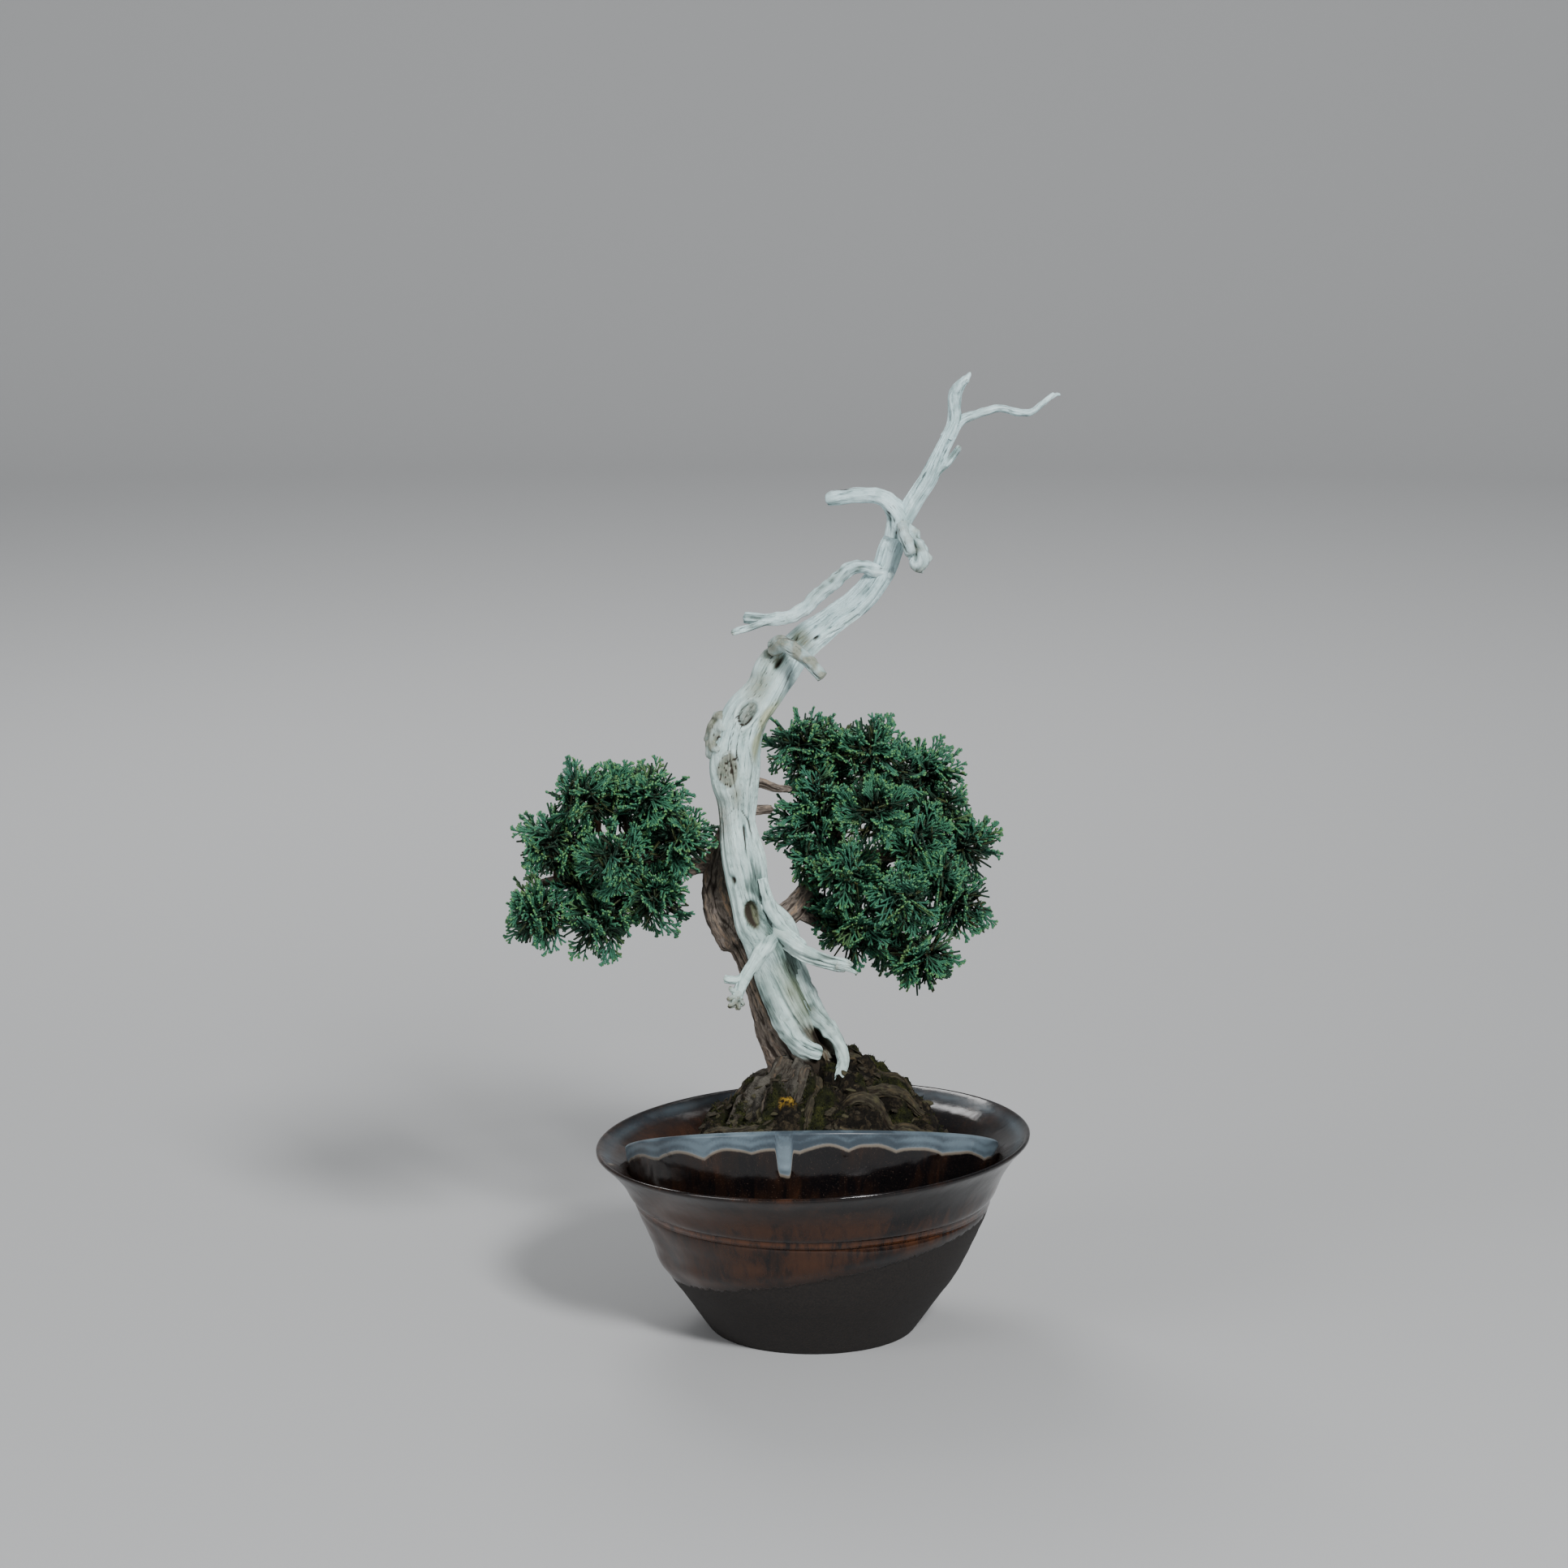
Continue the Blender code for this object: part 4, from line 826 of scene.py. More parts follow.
# Smaller bunches that close the gaps: the tuft each belongs to, its middle and its reach
FILL = {
    ("left", 2): (-84, -6, 241, 13), ("left", 7): (-103, 0, 197, 15),
    ("right", 2): (10, 26, 256, 13), ("right", 4): (4, 18, 236, 14), ("right", 5): (36, 24, 243, 15),
    ("right", 7): (58, 30, 226, 15), ("right", 8): (57, 16, 198, 15), ("right", 9): (-2, 16, 205, 14),
    ("right", 11): (6, 22, 182, 12),
}
FANS, FILL_FANS = 26, 12  # in a tuft, and in a smaller bunch
FAN_SPREAD = 1.6  # of the fans' directions: 2 would be a whole ball
SIDES = 7  # side cords of a fan
SIDE_PLACES = (16.8, 14.2, 11.7, 9.2, 6.8, 4.5, 2.3)  # from the tip of the fan
SIDE_LENGTHS = (9.4, 9.2, 8.6, 7.4, 6.0, 4.4, 2.9)
FINGERS = 2  # short cords near the end of each side cord
INNER_SHOOTS = 8  # for each fan
CORD = 0.47  # radius of a green cord
GOLDEN_TURN = math.pi * (3 - math.sqrt(5))
# Rings of a cord: how far along it each is, and its radius as a share of the cord's
STEM_RINGS = [(0, 1.25), (0.5, 1.0), (1, 0.8)]
SIDE_RINGS = [(0, 0.9), (1, 0.95)]
INNER_RINGS = [(0, 1.3), (1, 1.0)]


def unit(vectors):
    """Vectors over their own length, so that each is one long."""
    return vectors / np.linalg.norm(vectors, axis=-1, keepdims=True)


def sideways(ways):
    """Two directions square to each way."""
    first = unit(np.cross(ways, (0.31, 0.23, 0.92)))
    return first, np.cross(ways, first)


def copied(faces, count, points):
    """The faces of that many like shells, whose points follow each other."""
    return (faces + points * np.arange(count)[:, None, None]).reshape(-1, faces.shape[1])


def on_cords(starts, ways, bends, lengths, share):
    """Points at a share t of cords, start + length (t way + t squared bend), and their ways."""
    points = starts + lengths[..., None] * (share * ways + share**2 * bends)
    return points, unit(ways + 2 * share * bends)


def cord_shells(starts, ways, bends, lengths, rings, sides, root_tone, fresh, hues):
    """Many like cords, one to a row, with a ring at each share given and a blunt tip.

    The ages run from the root's value at the root to the fresh value at the tip. Low ages
    colour a cord dark: partly older growth, partly painted shade deep in the tuft.
    """
    starts, ways, bends = (rows.reshape(-1, 3) for rows in (starts, ways, bends))
    lengths, root_tone, fresh, hues = (rows.reshape(-1, 1) for rows in (lengths, root_tone, fresh, hues))
    share, size = np.array(rings, float).T
    path, _ = on_cords(starts[:, None], ways[:, None], bends[:, None], lengths, share[:, None])
    outward = ways_round(*sideways(ways), turns_round(sides))
    points = path[:, :, None] + CORD * size[:, None, None] * outward[:, None]
    tips = path[:, -1] + unit(ways + 2 * bends) * CORD * 0.45
    points = np.concatenate([points.reshape(len(ways), -1, 3), path[:, :1], tips[:, None]], axis=1)
    groups = [copied(faces, *points.shape[:2]) for faces in ring_faces(len(rings), sides)]
    along = np.concatenate([np.repeat(share, sides), [0, 1]])[None, :]
    age_and_shade = root_tone + (fresh - root_tone) * along
    leaf = together(age_and_shade, hues + 0 * age_and_shade, lengths * along)
    return points.reshape(-1, 3), groups, {"leaf": leaf.reshape(-1, 3)}


def tuft_shells(centre, reach, heart, fans, seed):
    """A tuft: fans in even directions round its outward axis, each a stem, sides and fingers.

    A stem starts at random near the middle and ends on a ball of the tuft's reach. Each fan is
    flat, and its face looks away from the heart of its mass, with some roll. Side cords leave
    the stem to either side in turn, and fingers leave a side cord to both sides, all in the
    fan's plane. Dark inner shoots fill the middle: partly older growth, partly painted shade
    for the depth of the tuft.
    """
    rng = np.random.default_rng(seed)
    outward = unit(centre - heart)
    spin = (GOLDEN_TURN * (np.arange(fans) + rng.uniform(0, 1)))[:, None]
    height = (1 - FAN_SPREAD * (np.arange(fans) + 0.5) / fans)[:, None]
    first, second = sideways(outward)
    ways = np.sqrt(1 - height**2) * (np.cos(spin) * first + np.sin(spin) * second)
    ways = unit(ways + height * outward + (0, 0, 0.15) + rng.normal(0, 0.22, (fans, 3)))
    roots = unit(rng.normal(0, 1, (fans, 3))) * np.sqrt(rng.uniform(0, 1, (fans, 1)))
    roots = 0.52 * reach * roots - 2 * outward
    ahead = np.sum(roots * ways, axis=1)
    lengths = np.sqrt(np.clip(reach**2 - np.sum(roots**2, axis=1) + ahead**2, 1, None)) - ahead
    lengths = lengths * rng.uniform(0.82, 1.04, fans)
    roots = roots + centre
    bends = rng.normal(0, 0.025, (fans, 3))
    bends[:, 2] += 0.05 * (1 - np.abs(ways[:, 2]))
    facing = unit(roots + ways * lengths[:, None] - heart)
    across = unit(np.cross(facing, ways) + rng.normal(0, 0.1, (fans, 3)))
    roll = rng.normal(0, 0.45, (fans, 1))
    across = unit(across * np.cos(roll) + np.cross(ways, across) * np.sin(roll))
    hue = rng.uniform(0, 1, fans)
    fresh = rng.uniform(0.84, 1.0, fans)
    shells = [cord_shells(roots, ways, bends, lengths, STEM_RINGS, 4, 0 * hue, fresh, hue)]
    count = INNER_SHOOTS * fans
    inner = unit(rng.normal(0, 1, (count, 3)))
    starts = centre - outward + inner * rng.uniform(0.05, 0.5, (count, 1)) * reach
    aside = unit(inner + rng.normal(0, 0.7, inner.shape))
    # Inner shoots sit low on the colour ramp, dark: partly older growth, partly painted shade filling
    # the middle.
    age_and_shade = rng.uniform(0.04, 0.20, count)
    short = rng.uniform(0.25, 0.45, count) * reach
    shells.append(cord_shells(starts, aside, 0 * aside, short, INNER_RINGS, 3, age_and_shade, age_and_shade + 0.1, age_and_shade))

    shape = (fans, SIDES)
    from_tip = np.array(SIDE_PLACES) * rng.uniform(0.94, 1.06, shape)
    place = 1 - np.minimum(from_tip / lengths[:, None], 0.9)
    stems = (roots[:, None], ways[:, None], bends[:, None], lengths[:, None])
    starts, stem = on_cords(*stems, place[..., None])
    square = across[:, None] * np.where(np.arange(SIDES) % 2, 1, -1)[:, None]
    square = square + np.cross(ways, across)[:, None] * rng.normal(0, 0.22, (*shape, 1))
    plane = np.cross(stem, square)
    lean = rng.uniform(0.52, 0.72, (*shape, 1))
    ways = unit(np.cos(lean) * stem + np.sin(lean) * unit(square))
    lengths = np.array(SIDE_LENGTHS) * rng.uniform(0.75, 1.1, shape)
    bends = 0.05 * stem + rng.normal(0, 0.015, (*shape, 3))
    hue = np.clip(hue[:, None] + rng.normal(0, 0.08, shape), 0, 1)
    # Side cords nearer the stem's root start lower on the ramp, darker: partly older growth, partly
    # painted shade.
    root_tone = 0.25 + 0.55 * place
    fresh = rng.uniform(0.80, 0.99, shape)
    shells.append(cord_shells(starts, ways, bends, lengths, SIDE_RINGS, 4, root_tone, fresh, hue))

    shape = (fans, SIDES, FINGERS)
    place = np.array([0.44, 0.72]) + rng.uniform(-0.05, 0.05, shape)
    sides = (starts[:, :, None], ways[:, :, None], bends[:, :, None], lengths[..., None])
    starts, stem = on_cords(*sides, place[..., None])
    off = unit(np.cross(plane, ways))[:, :, None] * np.array([[-1], [1]])
    off = off + rng.normal(0, 0.2, (*shape, 3))
    lean = rng.uniform(0.50, 0.70, (*shape, 1))
    ways = unit(np.cos(lean) * stem + np.sin(lean) * unit(off))
    lengths = (1.0 - 0.95 * place) * lengths[..., None] * rng.uniform(0.75, 1.1, shape)
    hue, root_tone = (np.broadcast_to(rows[..., None], shape) for rows in (hue, 0.5 * root_tone + 0.4))
    fresh = rng.uniform(0.82, 1.0, shape)
    shells.append(cord_shells(starts, ways, 0 * off, lengths, SIDE_RINGS, 4, root_tone, fresh, hue))
    return shells


def nearest_limb(centre, routes):
    """The limb point nearest a tuft, past the bare first quarter of each limb."""
    limbs = [follow(route, 3.0)[:, 1:] for route in routes]
    bare = np.concatenate([np.linspace(0, 1, len(rows)) < 0.25 for rows in limbs])
    rows = np.vstack(limbs)
    return rows[np.argmin(np.linalg.norm(rows[:, :3] - centre, axis=1) + 1000 * bare)]


def twig_shell(start, end, seed):
    """A tapering twig from inside the limb's bark to the tuft's middle, bowed upwards."""
    share = np.linspace(0, 1, 14)[:, None]
    bow = np.sin(math.pi * share)
    centres = start[:3] + (end - start[:3]) * share
    centres[:, 2:] += 0.08 * np.linalg.norm(end - start[:3]) * bow
    centres += 0.5 * np.random.default_rng(seed).normal(0, 1, (14, 3)) * bow
    outward = ways_round(*square_to(centres)[1:], turns_round(8))
    surface = centres[:, None] + (1.35 - 0.55 * share)[:, None] * outward
    return tube_shell(surface, {"leaf": np.zeros(surface.shape) + (-0.5, 0.5, 0)})


def scale_leaf():
    """Scale leaves: brown at a shoot's root, then blue-green, and yellow-green at the tips."""
    finish = Finish("scale_leaf")
    age_and_shade, hue, along = finish.split(finish.attribute("leaf"))
    mottle = finish.noise(finish.place(), 0.9, 2)
    # The dark low end of the ramp is partly older growth and partly painted shade deep in the tuft.
    green = finish.ramp(
        age_and_shade + (mottle - 0.5) * 0.12,
        (0.00, (74, 56, 42)), (0.06, (52, 48, 32)), (0.15, (24, 44, 32)),
        (0.38, (38, 80, 60)), (0.84, (58, 114, 86)),
        (1.00, (104, 152, 86)),
    )
    bluer = (hue.step(0.45, 1.0) * 0.4, (66, 120, 104))
    yellower = (hue.step(0.10, 0.0) * 0.5, (92, 104, 50))
    colour = finish.layered(green, bluer, yellower)
    scales = (along * 5.2).maths("SINE").maths("ABSOLUTE")
    return finish.shade(colour, 0.5, scales, 0.00018, Specular_IOR_Level=0.3)


leaf = scale_leaf()
LEFT_HEART = np.array([-60.0, 12.0, 205.0])
RIGHT_HEART = np.array([14.0, 32.0, 205.0])
for side, tufts, heart, routes in (
    ("left", LEFT_TUFTS, LEFT_HEART, [LIMBS["left"]]),
    ("right", RIGHT_TUFTS, RIGHT_HEART, [LIMBS["right"], LIMBS["far_right"], LIMBS["low_right"]]),
):
    for number, (*centre, reach) in enumerate(tufts, 1):
        centre = np.array(centre, float)
        seed = number + (500 if side == "left" else 600)
        outward = unit(centre - heart)
        start = nearest_limb(centre, routes)
        shells = tuft_shells(centre, reach, heart, FANS, seed)
        if (side, number) in FILL:
            *middle, size = FILL[side, number]
            shells += tuft_shells(np.array(middle, float), size, heart, FILL_FANS, seed + 50)
        shells.append(twig_shell(start, centre - 1.5 * outward, seed))
        spray = make_piece(f"spray_{side}_{number:02d}", shells, leaf)
        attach(spray, "root")
        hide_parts(f"foliage_{side}_{number:02d}")


# The mound: moss, peat and old root bark heaped round the foot of the trunk. It is one soft
# body with the tree's roots half sunk in it and bits of bark lying on it. It stands on the soil.
SOIL_TOP = 62.0
MOUND_TOP = 122.0
REACHES = {"right": 67.0, "back": 56.0, "left": 54.0, "front": 62.0}
# Waves of the skin: how many round the mound, how far they wind on the way out, start, and size
# as a share of the mound's height
RIDGES = [(7, 2.2, 0.0, 0.050), (12, -3.0, 1.0, 0.030), (4, 9.0, 0.0, 0.025)]
# Waves over the plan: radians to a millimetre along x and along y, start, and size as before
LUMPS = [(0.33, 0.21, 0.4, 0.040), (-0.19, 0.37, 2.0, 0.035), (0.52, -0.30, 1.1, 0.022)]
# Places where the mound is lower, or higher: x, y, half sizes, depth
DIPS = [
    (38, 4, 12, 30, 7.0), (10, -18, 12, 11, 7.5), (-23, 8, 13, 24, 11.0), (-34, -1, 9, 16, 8.0),
    (-45, 4, 5, 16, -3.5), (56, 2, 8, 30, 3.0),
]
# Roots over the mound: x, y, how far the middle stands over the skin, radius. The flare roots are
# the living strip's own, which spread from its foot in fibrous bark.
FLARE_ROOTS = [
    [(-11, -5, -3.4, 5.5), (-16, -12, -3.8, 4.4), (-20, -19, -3.0, 3.4), (-24, -26, -3.2, 2.2)],
    [(-8, -9, -4.2, 5.0), (-9, -16, -3.4, 4.0), (-12, -23, -2.4, 3.0), (-15, -30, -2.6, 1.8)],
    [(-15, 0, -4, 5.0), (-23, -6, -3.4, 3.6), (-30, -12, -2.6, 2.6), (-36, -18, -3, 1.6)],
    [(-12, -8, -3.4, 4.0), (-15, -17, -2.6, 3.0), (-18, -25, -1.8, 2.2), (-21, -33, -2.5, 1.4)],
    [(-4, -12, -3.0, 3.6), (-4, -19, -2.4, 2.8), (-6, -26, -1.6, 2.0), (-8, -34, -2, 1.2)],
    [(-14, 12, -4, 4.2), (-25, 18, -2.6, 2.8), (-34, 23, -1.8, 2.2), (-41, 26, -3, 1.6)],
    [(-4, 16, -4, 5.0), (-8, 28, -1.6, 3.6), (-14, 38, -0.8, 2.6), (-17, 47, -3, 1.8)],
    [(10, 12, -2, 4.6), (20, 24, -0.4, 3.4), (30, 32, -0.2, 2.6), (40, 37, -3, 1.8)],
]
OLD_ROOTS = [
    [(1, -18, -1, 2.6), (2, -26, 0.8, 2.2), (-1, -34, 0.8, 2.0), (-3, -42, -1, 1.6), (-2, -46, -3, 1.4)],
    [(13, -32, -2, 2.0), (19, -34, 0.6, 2.8), (26, -33, 1.6, 3.2), (33, -31, 0.2, 2.4),
     (40, -31, 1.2, 2.4), (47, -28, 0.6, 1.8), (52, -26, -1.5, 1.2)],
    [(15, -20, -2, 2.0), (23, -21, 0.8, 2.4), (31, -19, 1.8, 2.8), (39, -17, 2.0, 2.4),
     (46, -16, 0.8, 1.6), (50, -15, -1, 1.0)],
    [(10, -1, -2, 2.0), (19, 1, 0.4, 2.0), (29, 2, 0.9, 1.8), (38, 2, 0.4, 1.6), (46, 3, -2, 1.4)],
    [(46, -24, -2, 1.4), (52, -24, 0.8, 2.0), (57, -22, 0.8, 1.7), (62, -20, -1.5, 1.2)],
    [(-46, -12, -2, 2.0), (-40, -21, -0.6, 2.6), (-33, -31, -0.6, 2.8), (-24, -39, -0.8, 2.2),
     (-16, -45, -2, 1.6)],
    [(8, -44, -2, 2.0), (17, -46, 0.2, 2.6), (27, -43, 0.4, 2.4), (36, -40, -1.5, 1.8)],
    [(4, 26, -2, 2.0), (10, 36, 0.2, 2.6), (9, 45, 0.2, 2.0), (12, 51, -2, 1.4)],
]
OLD_ROOT_TURNS = 26
FLARE_ROOT_TURNS = 40
MOUND_ROWS = 116
MOUND_TURNS = 230
FIBROUS = (-15.0, -16.0, 16.0)  # x, y and radius of the fibrous bark that spreads from the strip
LICHEN = (-11.0, -37.0, 4.6)  # x, y, radius


def mound_reach(x, y):
    """The reaches of the mound along X and Y, on the side of the middle that a point is on."""
    side = np.where(x > 0, REACHES["right"], REACHES["left"])
    return side, np.where(y > 0, REACHES["back"], REACHES["front"])


def near_fibres(x, y):
    """A bell round the middle of the fibrous bark."""
    middle_x, middle_y, radius = FIBROUS
    return np.exp(-(((x - middle_x) ** 2 + (y - middle_y) ** 2) / radius**2))


def mound_points(share, turn):
    """Points of the mound at shares of its reach and turns round it.

    The reach is an ellipse's, with a radius of its own each way. The height is a dome, the
    share to the power 2.5 taken from 1 and to the power 0.65, plus waves round the turn and
    over the plan, folds that run down it, and lumps of lattice noise, less bell-shaped dips.
    """
    side, depth = mound_reach(np.cos(turn), np.sin(turn))
    reach = share / np.sqrt((np.cos(turn) / side) ** 2 + (np.sin(turn) / depth) ** 2)
    x, y = reach * np.cos(turn), reach * np.sin(turn)
    dome = (1 - share**2.5) ** 0.65
    rough = sum(size * np.cos(n * turn + wind * share + start) for n, wind, start, size in RIDGES)
    rough += sum(size * np.sin(a * x + b * y + start) for a, b, start, size in LUMPS)
    spread = np.clip(np.sin(math.pi * share), 0, 1) ** 0.7
    z = SOIL_TOP + (MOUND_TOP - SOIL_TOP) * (dome + rough * spread)
    for dip_x, dip_y, wide, deep, drop in DIPS:
        dip = np.exp(-(((x - dip_x) / wide) ** 2) - ((y - dip_y) / deep) ** 2)
        z = z - drop * dip * eased(share, 1, 0.9)
    where = together(x, y, z)
    lumps = 1.5 * lattice_noise(where * 0.16, 71) + 1.1 * lattice_noise(where * 0.42, 72)
    lumps += 0.5 * lattice_noise(where * 1.1, 73)
    lumps += 1.3 * (0.55 - 2 * np.abs(fibres(turn + 0.012 * reach, reach, 7, 0.04, 76)))
    fine = 1.3 * fibres(turn, reach, 11, 0.04, 79) + 0.7 * fibres(turn, reach, 24, 0.06, 80)
    lumps += near_fibres(x, y) * (0.6 + fine)
    where[..., 2] += (lumps - 0.6) * spread
    where[..., :2] *= 1 + 0.012 * (lumps * spread)[..., None]
    return where


def over_mound(route):
    """A route given by plan position, as points that far over the mound's skin."""
    x, y, over, radius = np.array(route, float).T
    side, depth = mound_reach(x, y)
    share = np.clip(np.hypot(x / side, y / depth), 0.03, 0.97)
    return together(x, y, mound_points(share, np.arctan2(y, x))[:, 2] + over, radius)


def mound_shell():
    """The mound's skin from its top to the soil, then turned in under itself and closed."""
    share = np.linspace(0.02, 1, MOUND_ROWS)[:, None] ** 0.85
    skin = mound_points(*np.broadcast_arrays(share, turns_round(MOUND_TURNS)))
    skin[-1, :, 2] = SOIL_TOP - 1
    # The grid runs down from the top, so its turns go the other way round.
    skin = skin[:, ::-1]
    x, y, _ = np.moveaxis(skin, -1, 0)
    peat = eased(lattice_noise(skin * 0.09, 74), -0.25, 0.3)
    lump = lattice_noise(skin * 0.5, 75) * 0.5 + 0.5
    bark = near_fibres(x, y)
    strand = fibres(np.arctan2(y, x), np.hypot(x, y), 24, 0.06, 80)
    lump = lump + bark * (0.5 + 0.5 * strand - lump)
    return tube_shell(skin, {"ground": together(peat, lump, bark)})


def moss_and_peat():
    """Moss: olive to yellow-green cushions over dark brown, crumbly peat and rotted bark."""
    finish = Finish("moss_and_peat")
    peat, lump, bark = finish.split(finish.attribute("ground"))
    point = finish.place()
    x, y, _ = finish.split(point)
    crumbs = finish.noise(point, 0.55, 5, 0.7)
    fluff = finish.noise(point, 1.9, 3, 0.65)
    chips = finish.add("TexVoronoi", {"feature": "F1"}, {"Vector": point, "Scale": 0.42}, out="Color")
    tone = finish.split(chips)[0]
    earth = finish.ramp(
        crumbs * 0.8 + tone * 0.22,
        (0.34, (11, 9, 7)), (0.50, (27, 23, 17)), (0.66, (60, 52, 39)),
        (0.80, (94, 84, 65)),
    )
    moss = finish.ramp(
        fluff * 0.6 + lump * 0.4,
        (0.34, (13, 14, 7)), (0.52, (34, 37, 16)), (0.72, (70, 72, 32)),
    )
    fibrous = finish.mix((lump * 0.6 + fluff * 0.4).step(0.3, 0.65), (30, 27, 24), (102, 98, 90))
    away = ((x - LICHEN[0]) ** 2 + (y - LICHEN[1]) ** 2).maths("SQRT") / LICHEN[2]
    colour = finish.layered(
        moss,
        ((peat * 0.75 + crumbs * 0.6).step(0.42, 0.70), earth),
        ((bark + (crumbs - 0.5) * 0.6).step(0.35, 0.6), fibrous),
        ((1 - away).step(0.0, 0.6) * crumbs.step(0.42, 0.55), (178, 142, 52)),
    )
    relief = crumbs * 0.6 + fluff * 0.4 + tone * 0.25
    return finish.shade(colour, 0.95, relief, 0.0022, Specular_IOR_Level=0.2)


def scattered(rng, count, low, high):
    """Places strewn over the mound, from one share of its area to another: points and plan."""
    share = np.sqrt(rng.uniform(low, high, count))
    turn = rng.uniform(0, 2 * math.pi, count)
    plan = together(np.cos(turn) * share, np.sin(turn) * share, 0 * turn)
    return mound_points(share, turn), plan


def moss_blades(count, seed):
    """Short three-sided spikes standing up from the mound, each closed by its own base."""
    rng = np.random.default_rng(seed)
    feet, plan = scattered(rng, count, 0.02, 0.96)
    peat = eased(lattice_noise(feet * 0.09, 74), -0.25, 0.3)
    away = np.hypot(feet[:, 0] - FIBROUS[0], feet[:, 1] - FIBROUS[1])
    kept = (peat < 0.8) & (away > 0.85 * FIBROUS[2])
    feet, plan = feet[kept], plan[kept]
    lean = unit(plan + (0, 0, 0.9) + rng.normal(0, 0.35, plan.shape))
    wide = rng.uniform(0.22, 0.42, (len(feet), 1, 1))
    tall = rng.uniform(0.7, 1.8, (len(feet), 1))
    corners = (feet - 0.3 * lean)[:, None] + wide * ways_round(*sideways(lean), turns_round(3))
    points = np.concatenate([corners, (feet + tall * lean)[:, None]], axis=1).reshape(-1, 3)
    faces = copied(np.array([(0, 1, 3), (1, 2, 3), (2, 0, 3), (2, 1, 0)]), len(feet), 4)
    ground = together(0, rng.uniform(0, 1, len(feet)), 0)
    return points, [faces], {"ground": np.repeat(ground, 4, axis=0)}


def bark_chips(count, seed):
    """Chips of bark on the mound: small curled plates, flattened balls bent along their width."""
    rng = np.random.default_rng(seed)
    feet, plan = scattered(rng, count, 0.06, 0.93)
    slope = unit(plan + (0, 0, 0.8) + rng.normal(0, 0.25, plan.shape))
    first, second = sideways(slope)
    spin = rng.uniform(0, 2 * math.pi, (count, 1))
    long_way = first * np.cos(spin) + second * np.sin(spin)
    wide_way = np.cross(slope, long_way)
    down = np.linspace(0, math.pi, 6)[1:-1, None]
    ring = turns_round(7)
    ball = together(np.cos(down), np.sin(down) * np.cos(ring), np.sin(down) * np.sin(ring))
    ball = np.vstack([ball.reshape(-1, 3), [(1, 0, 0), (-1, 0, 0)]])
    length = rng.uniform(1.2, 3.6, (count, 1))
    width = length * rng.uniform(0.3, 0.7, (count, 1))
    along = ball[:, 0] * length * (1 + 0.25 * rng.normal(0, 1, (count, len(ball))))
    across = ball[:, 1] * width * (1 + 0.2 * rng.normal(0, 1, (count, len(ball))))
    up = ball[:, 2] * 0.35 + 0.22 * across**2 * rng.uniform(-1, 1, (count, 1)) + 0.25
    points = feet[:, None] + along[..., None] * long_way[:, None]
    points = points + across[..., None] * wide_way[:, None] + up[..., None] * slope[:, None]
    # The rings run from the first pole backwards, so each face is turned over.
    walls, ends = ring_faces(len(down), ring.size)
    turned = (walls[:, [0, 3, 2, 1]], ends[:, [1, 0, 2]])
    groups = [copied(faces, *points.shape[:2]) for faces in turned]
    grain = together(across, up, along * 3 + 9 * spin)
    tone = rng.uniform(0, 1, (count, 1))
    marks = together(0.5 * (tone < 0.4), 0.5 + 0 * along, 0.5 + 0.5 * (tone > 0.7) * tone)
    flat = [grid.reshape(-1, 3) for grid in (points, grain, marks)]
    return flat[0], groups, {"grain": flat[1], "marks": flat[2]}


moss = moss_and_peat()
mound = make_piece("moss_and_peat_mound", [mound_shell(), moss_blades(6000, 77)], moss)
# The roots' bark is multiplied darker than the live bark: partly grime, partly painted shade over the
# mound.
old_bark = bark_finish("root_bark", (170, 164, 138), (126, 126, 108))
shells = bark_shells(map(over_mound, OLD_ROOTS), OLD_ROOT_TURNS, 0.7, 400)
roots = make_piece("old_roots", [*shells, bark_chips(260, 78)], old_bark)
for piece in (mound, roots):
    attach(piece, "root")
    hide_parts("moss_mound")
fibrous_bark = bark_finish("fibrous_bark", (150, 148, 140), (152, 152, 146))
shells = bark_shells(map(over_mound, FLARE_ROOTS), FLARE_ROOT_TURNS, 1.0, 500)
flares = make_piece("surface_roots", shells, fibrous_bark)
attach(flares, "root")
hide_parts("live_wood")


# The soil: grit and baked clay that fills the bowl to below its rim, seen as a bed with loose
# grains on it. It lies in the bowl under its own weight.
SOIL_REACH = 74.0
SOIL_ROWS = 60
SOIL_TURNS = 160
SOIL_UNDER = [(74.0, 3), (59.0, 34), (40.0, 53)]  # radius and depth: its side lies on the bowl's


def grains(count, seed):
    """Loose grit: boxes of eight corners, each corner pushed about, turned at random."""
    rng = np.random.default_rng(seed)
    spin = rng.normal(0, 1, (count, 3, 3))
    axes = np.linalg.qr(spin)[0]
    axes[:, :, 2] *= np.sign(np.linalg.det(axes))[:, None]
    reach = SOIL_REACH * np.sqrt(rng.uniform(0.30, 0.98, count))
    turn = rng.uniform(0, 2 * math.pi, count)
    size = rng.uniform(0.7, 1.9, count)
    middle = together(reach * np.cos(turn), reach * np.sin(turn), SOIL_TOP + 0.2 * size)
    corner = np.array([(x, y, z) for z in (-1, 1) for y in (-1, 1) for x in (-1, 1)], float)
    corner = corner[None] * rng.uniform(0.45, 0.75, (count, 8, 3)) * size[:, None, None]
    points = middle[:, None] + np.einsum("nij,nkj->nki", axes, corner)
    quads = [(0, 2, 3, 1), (4, 5, 7, 6), (0, 1, 5, 4), (2, 6, 7, 3), (0, 4, 6, 2), (1, 3, 7, 5)]
    tint = np.repeat(rng.uniform(0, 1, (count, 3)), 8, axis=0)
    faces = copied(np.array(quads), count, 8)
    return points.reshape(-1, 3), [faces], {"grit": tint}


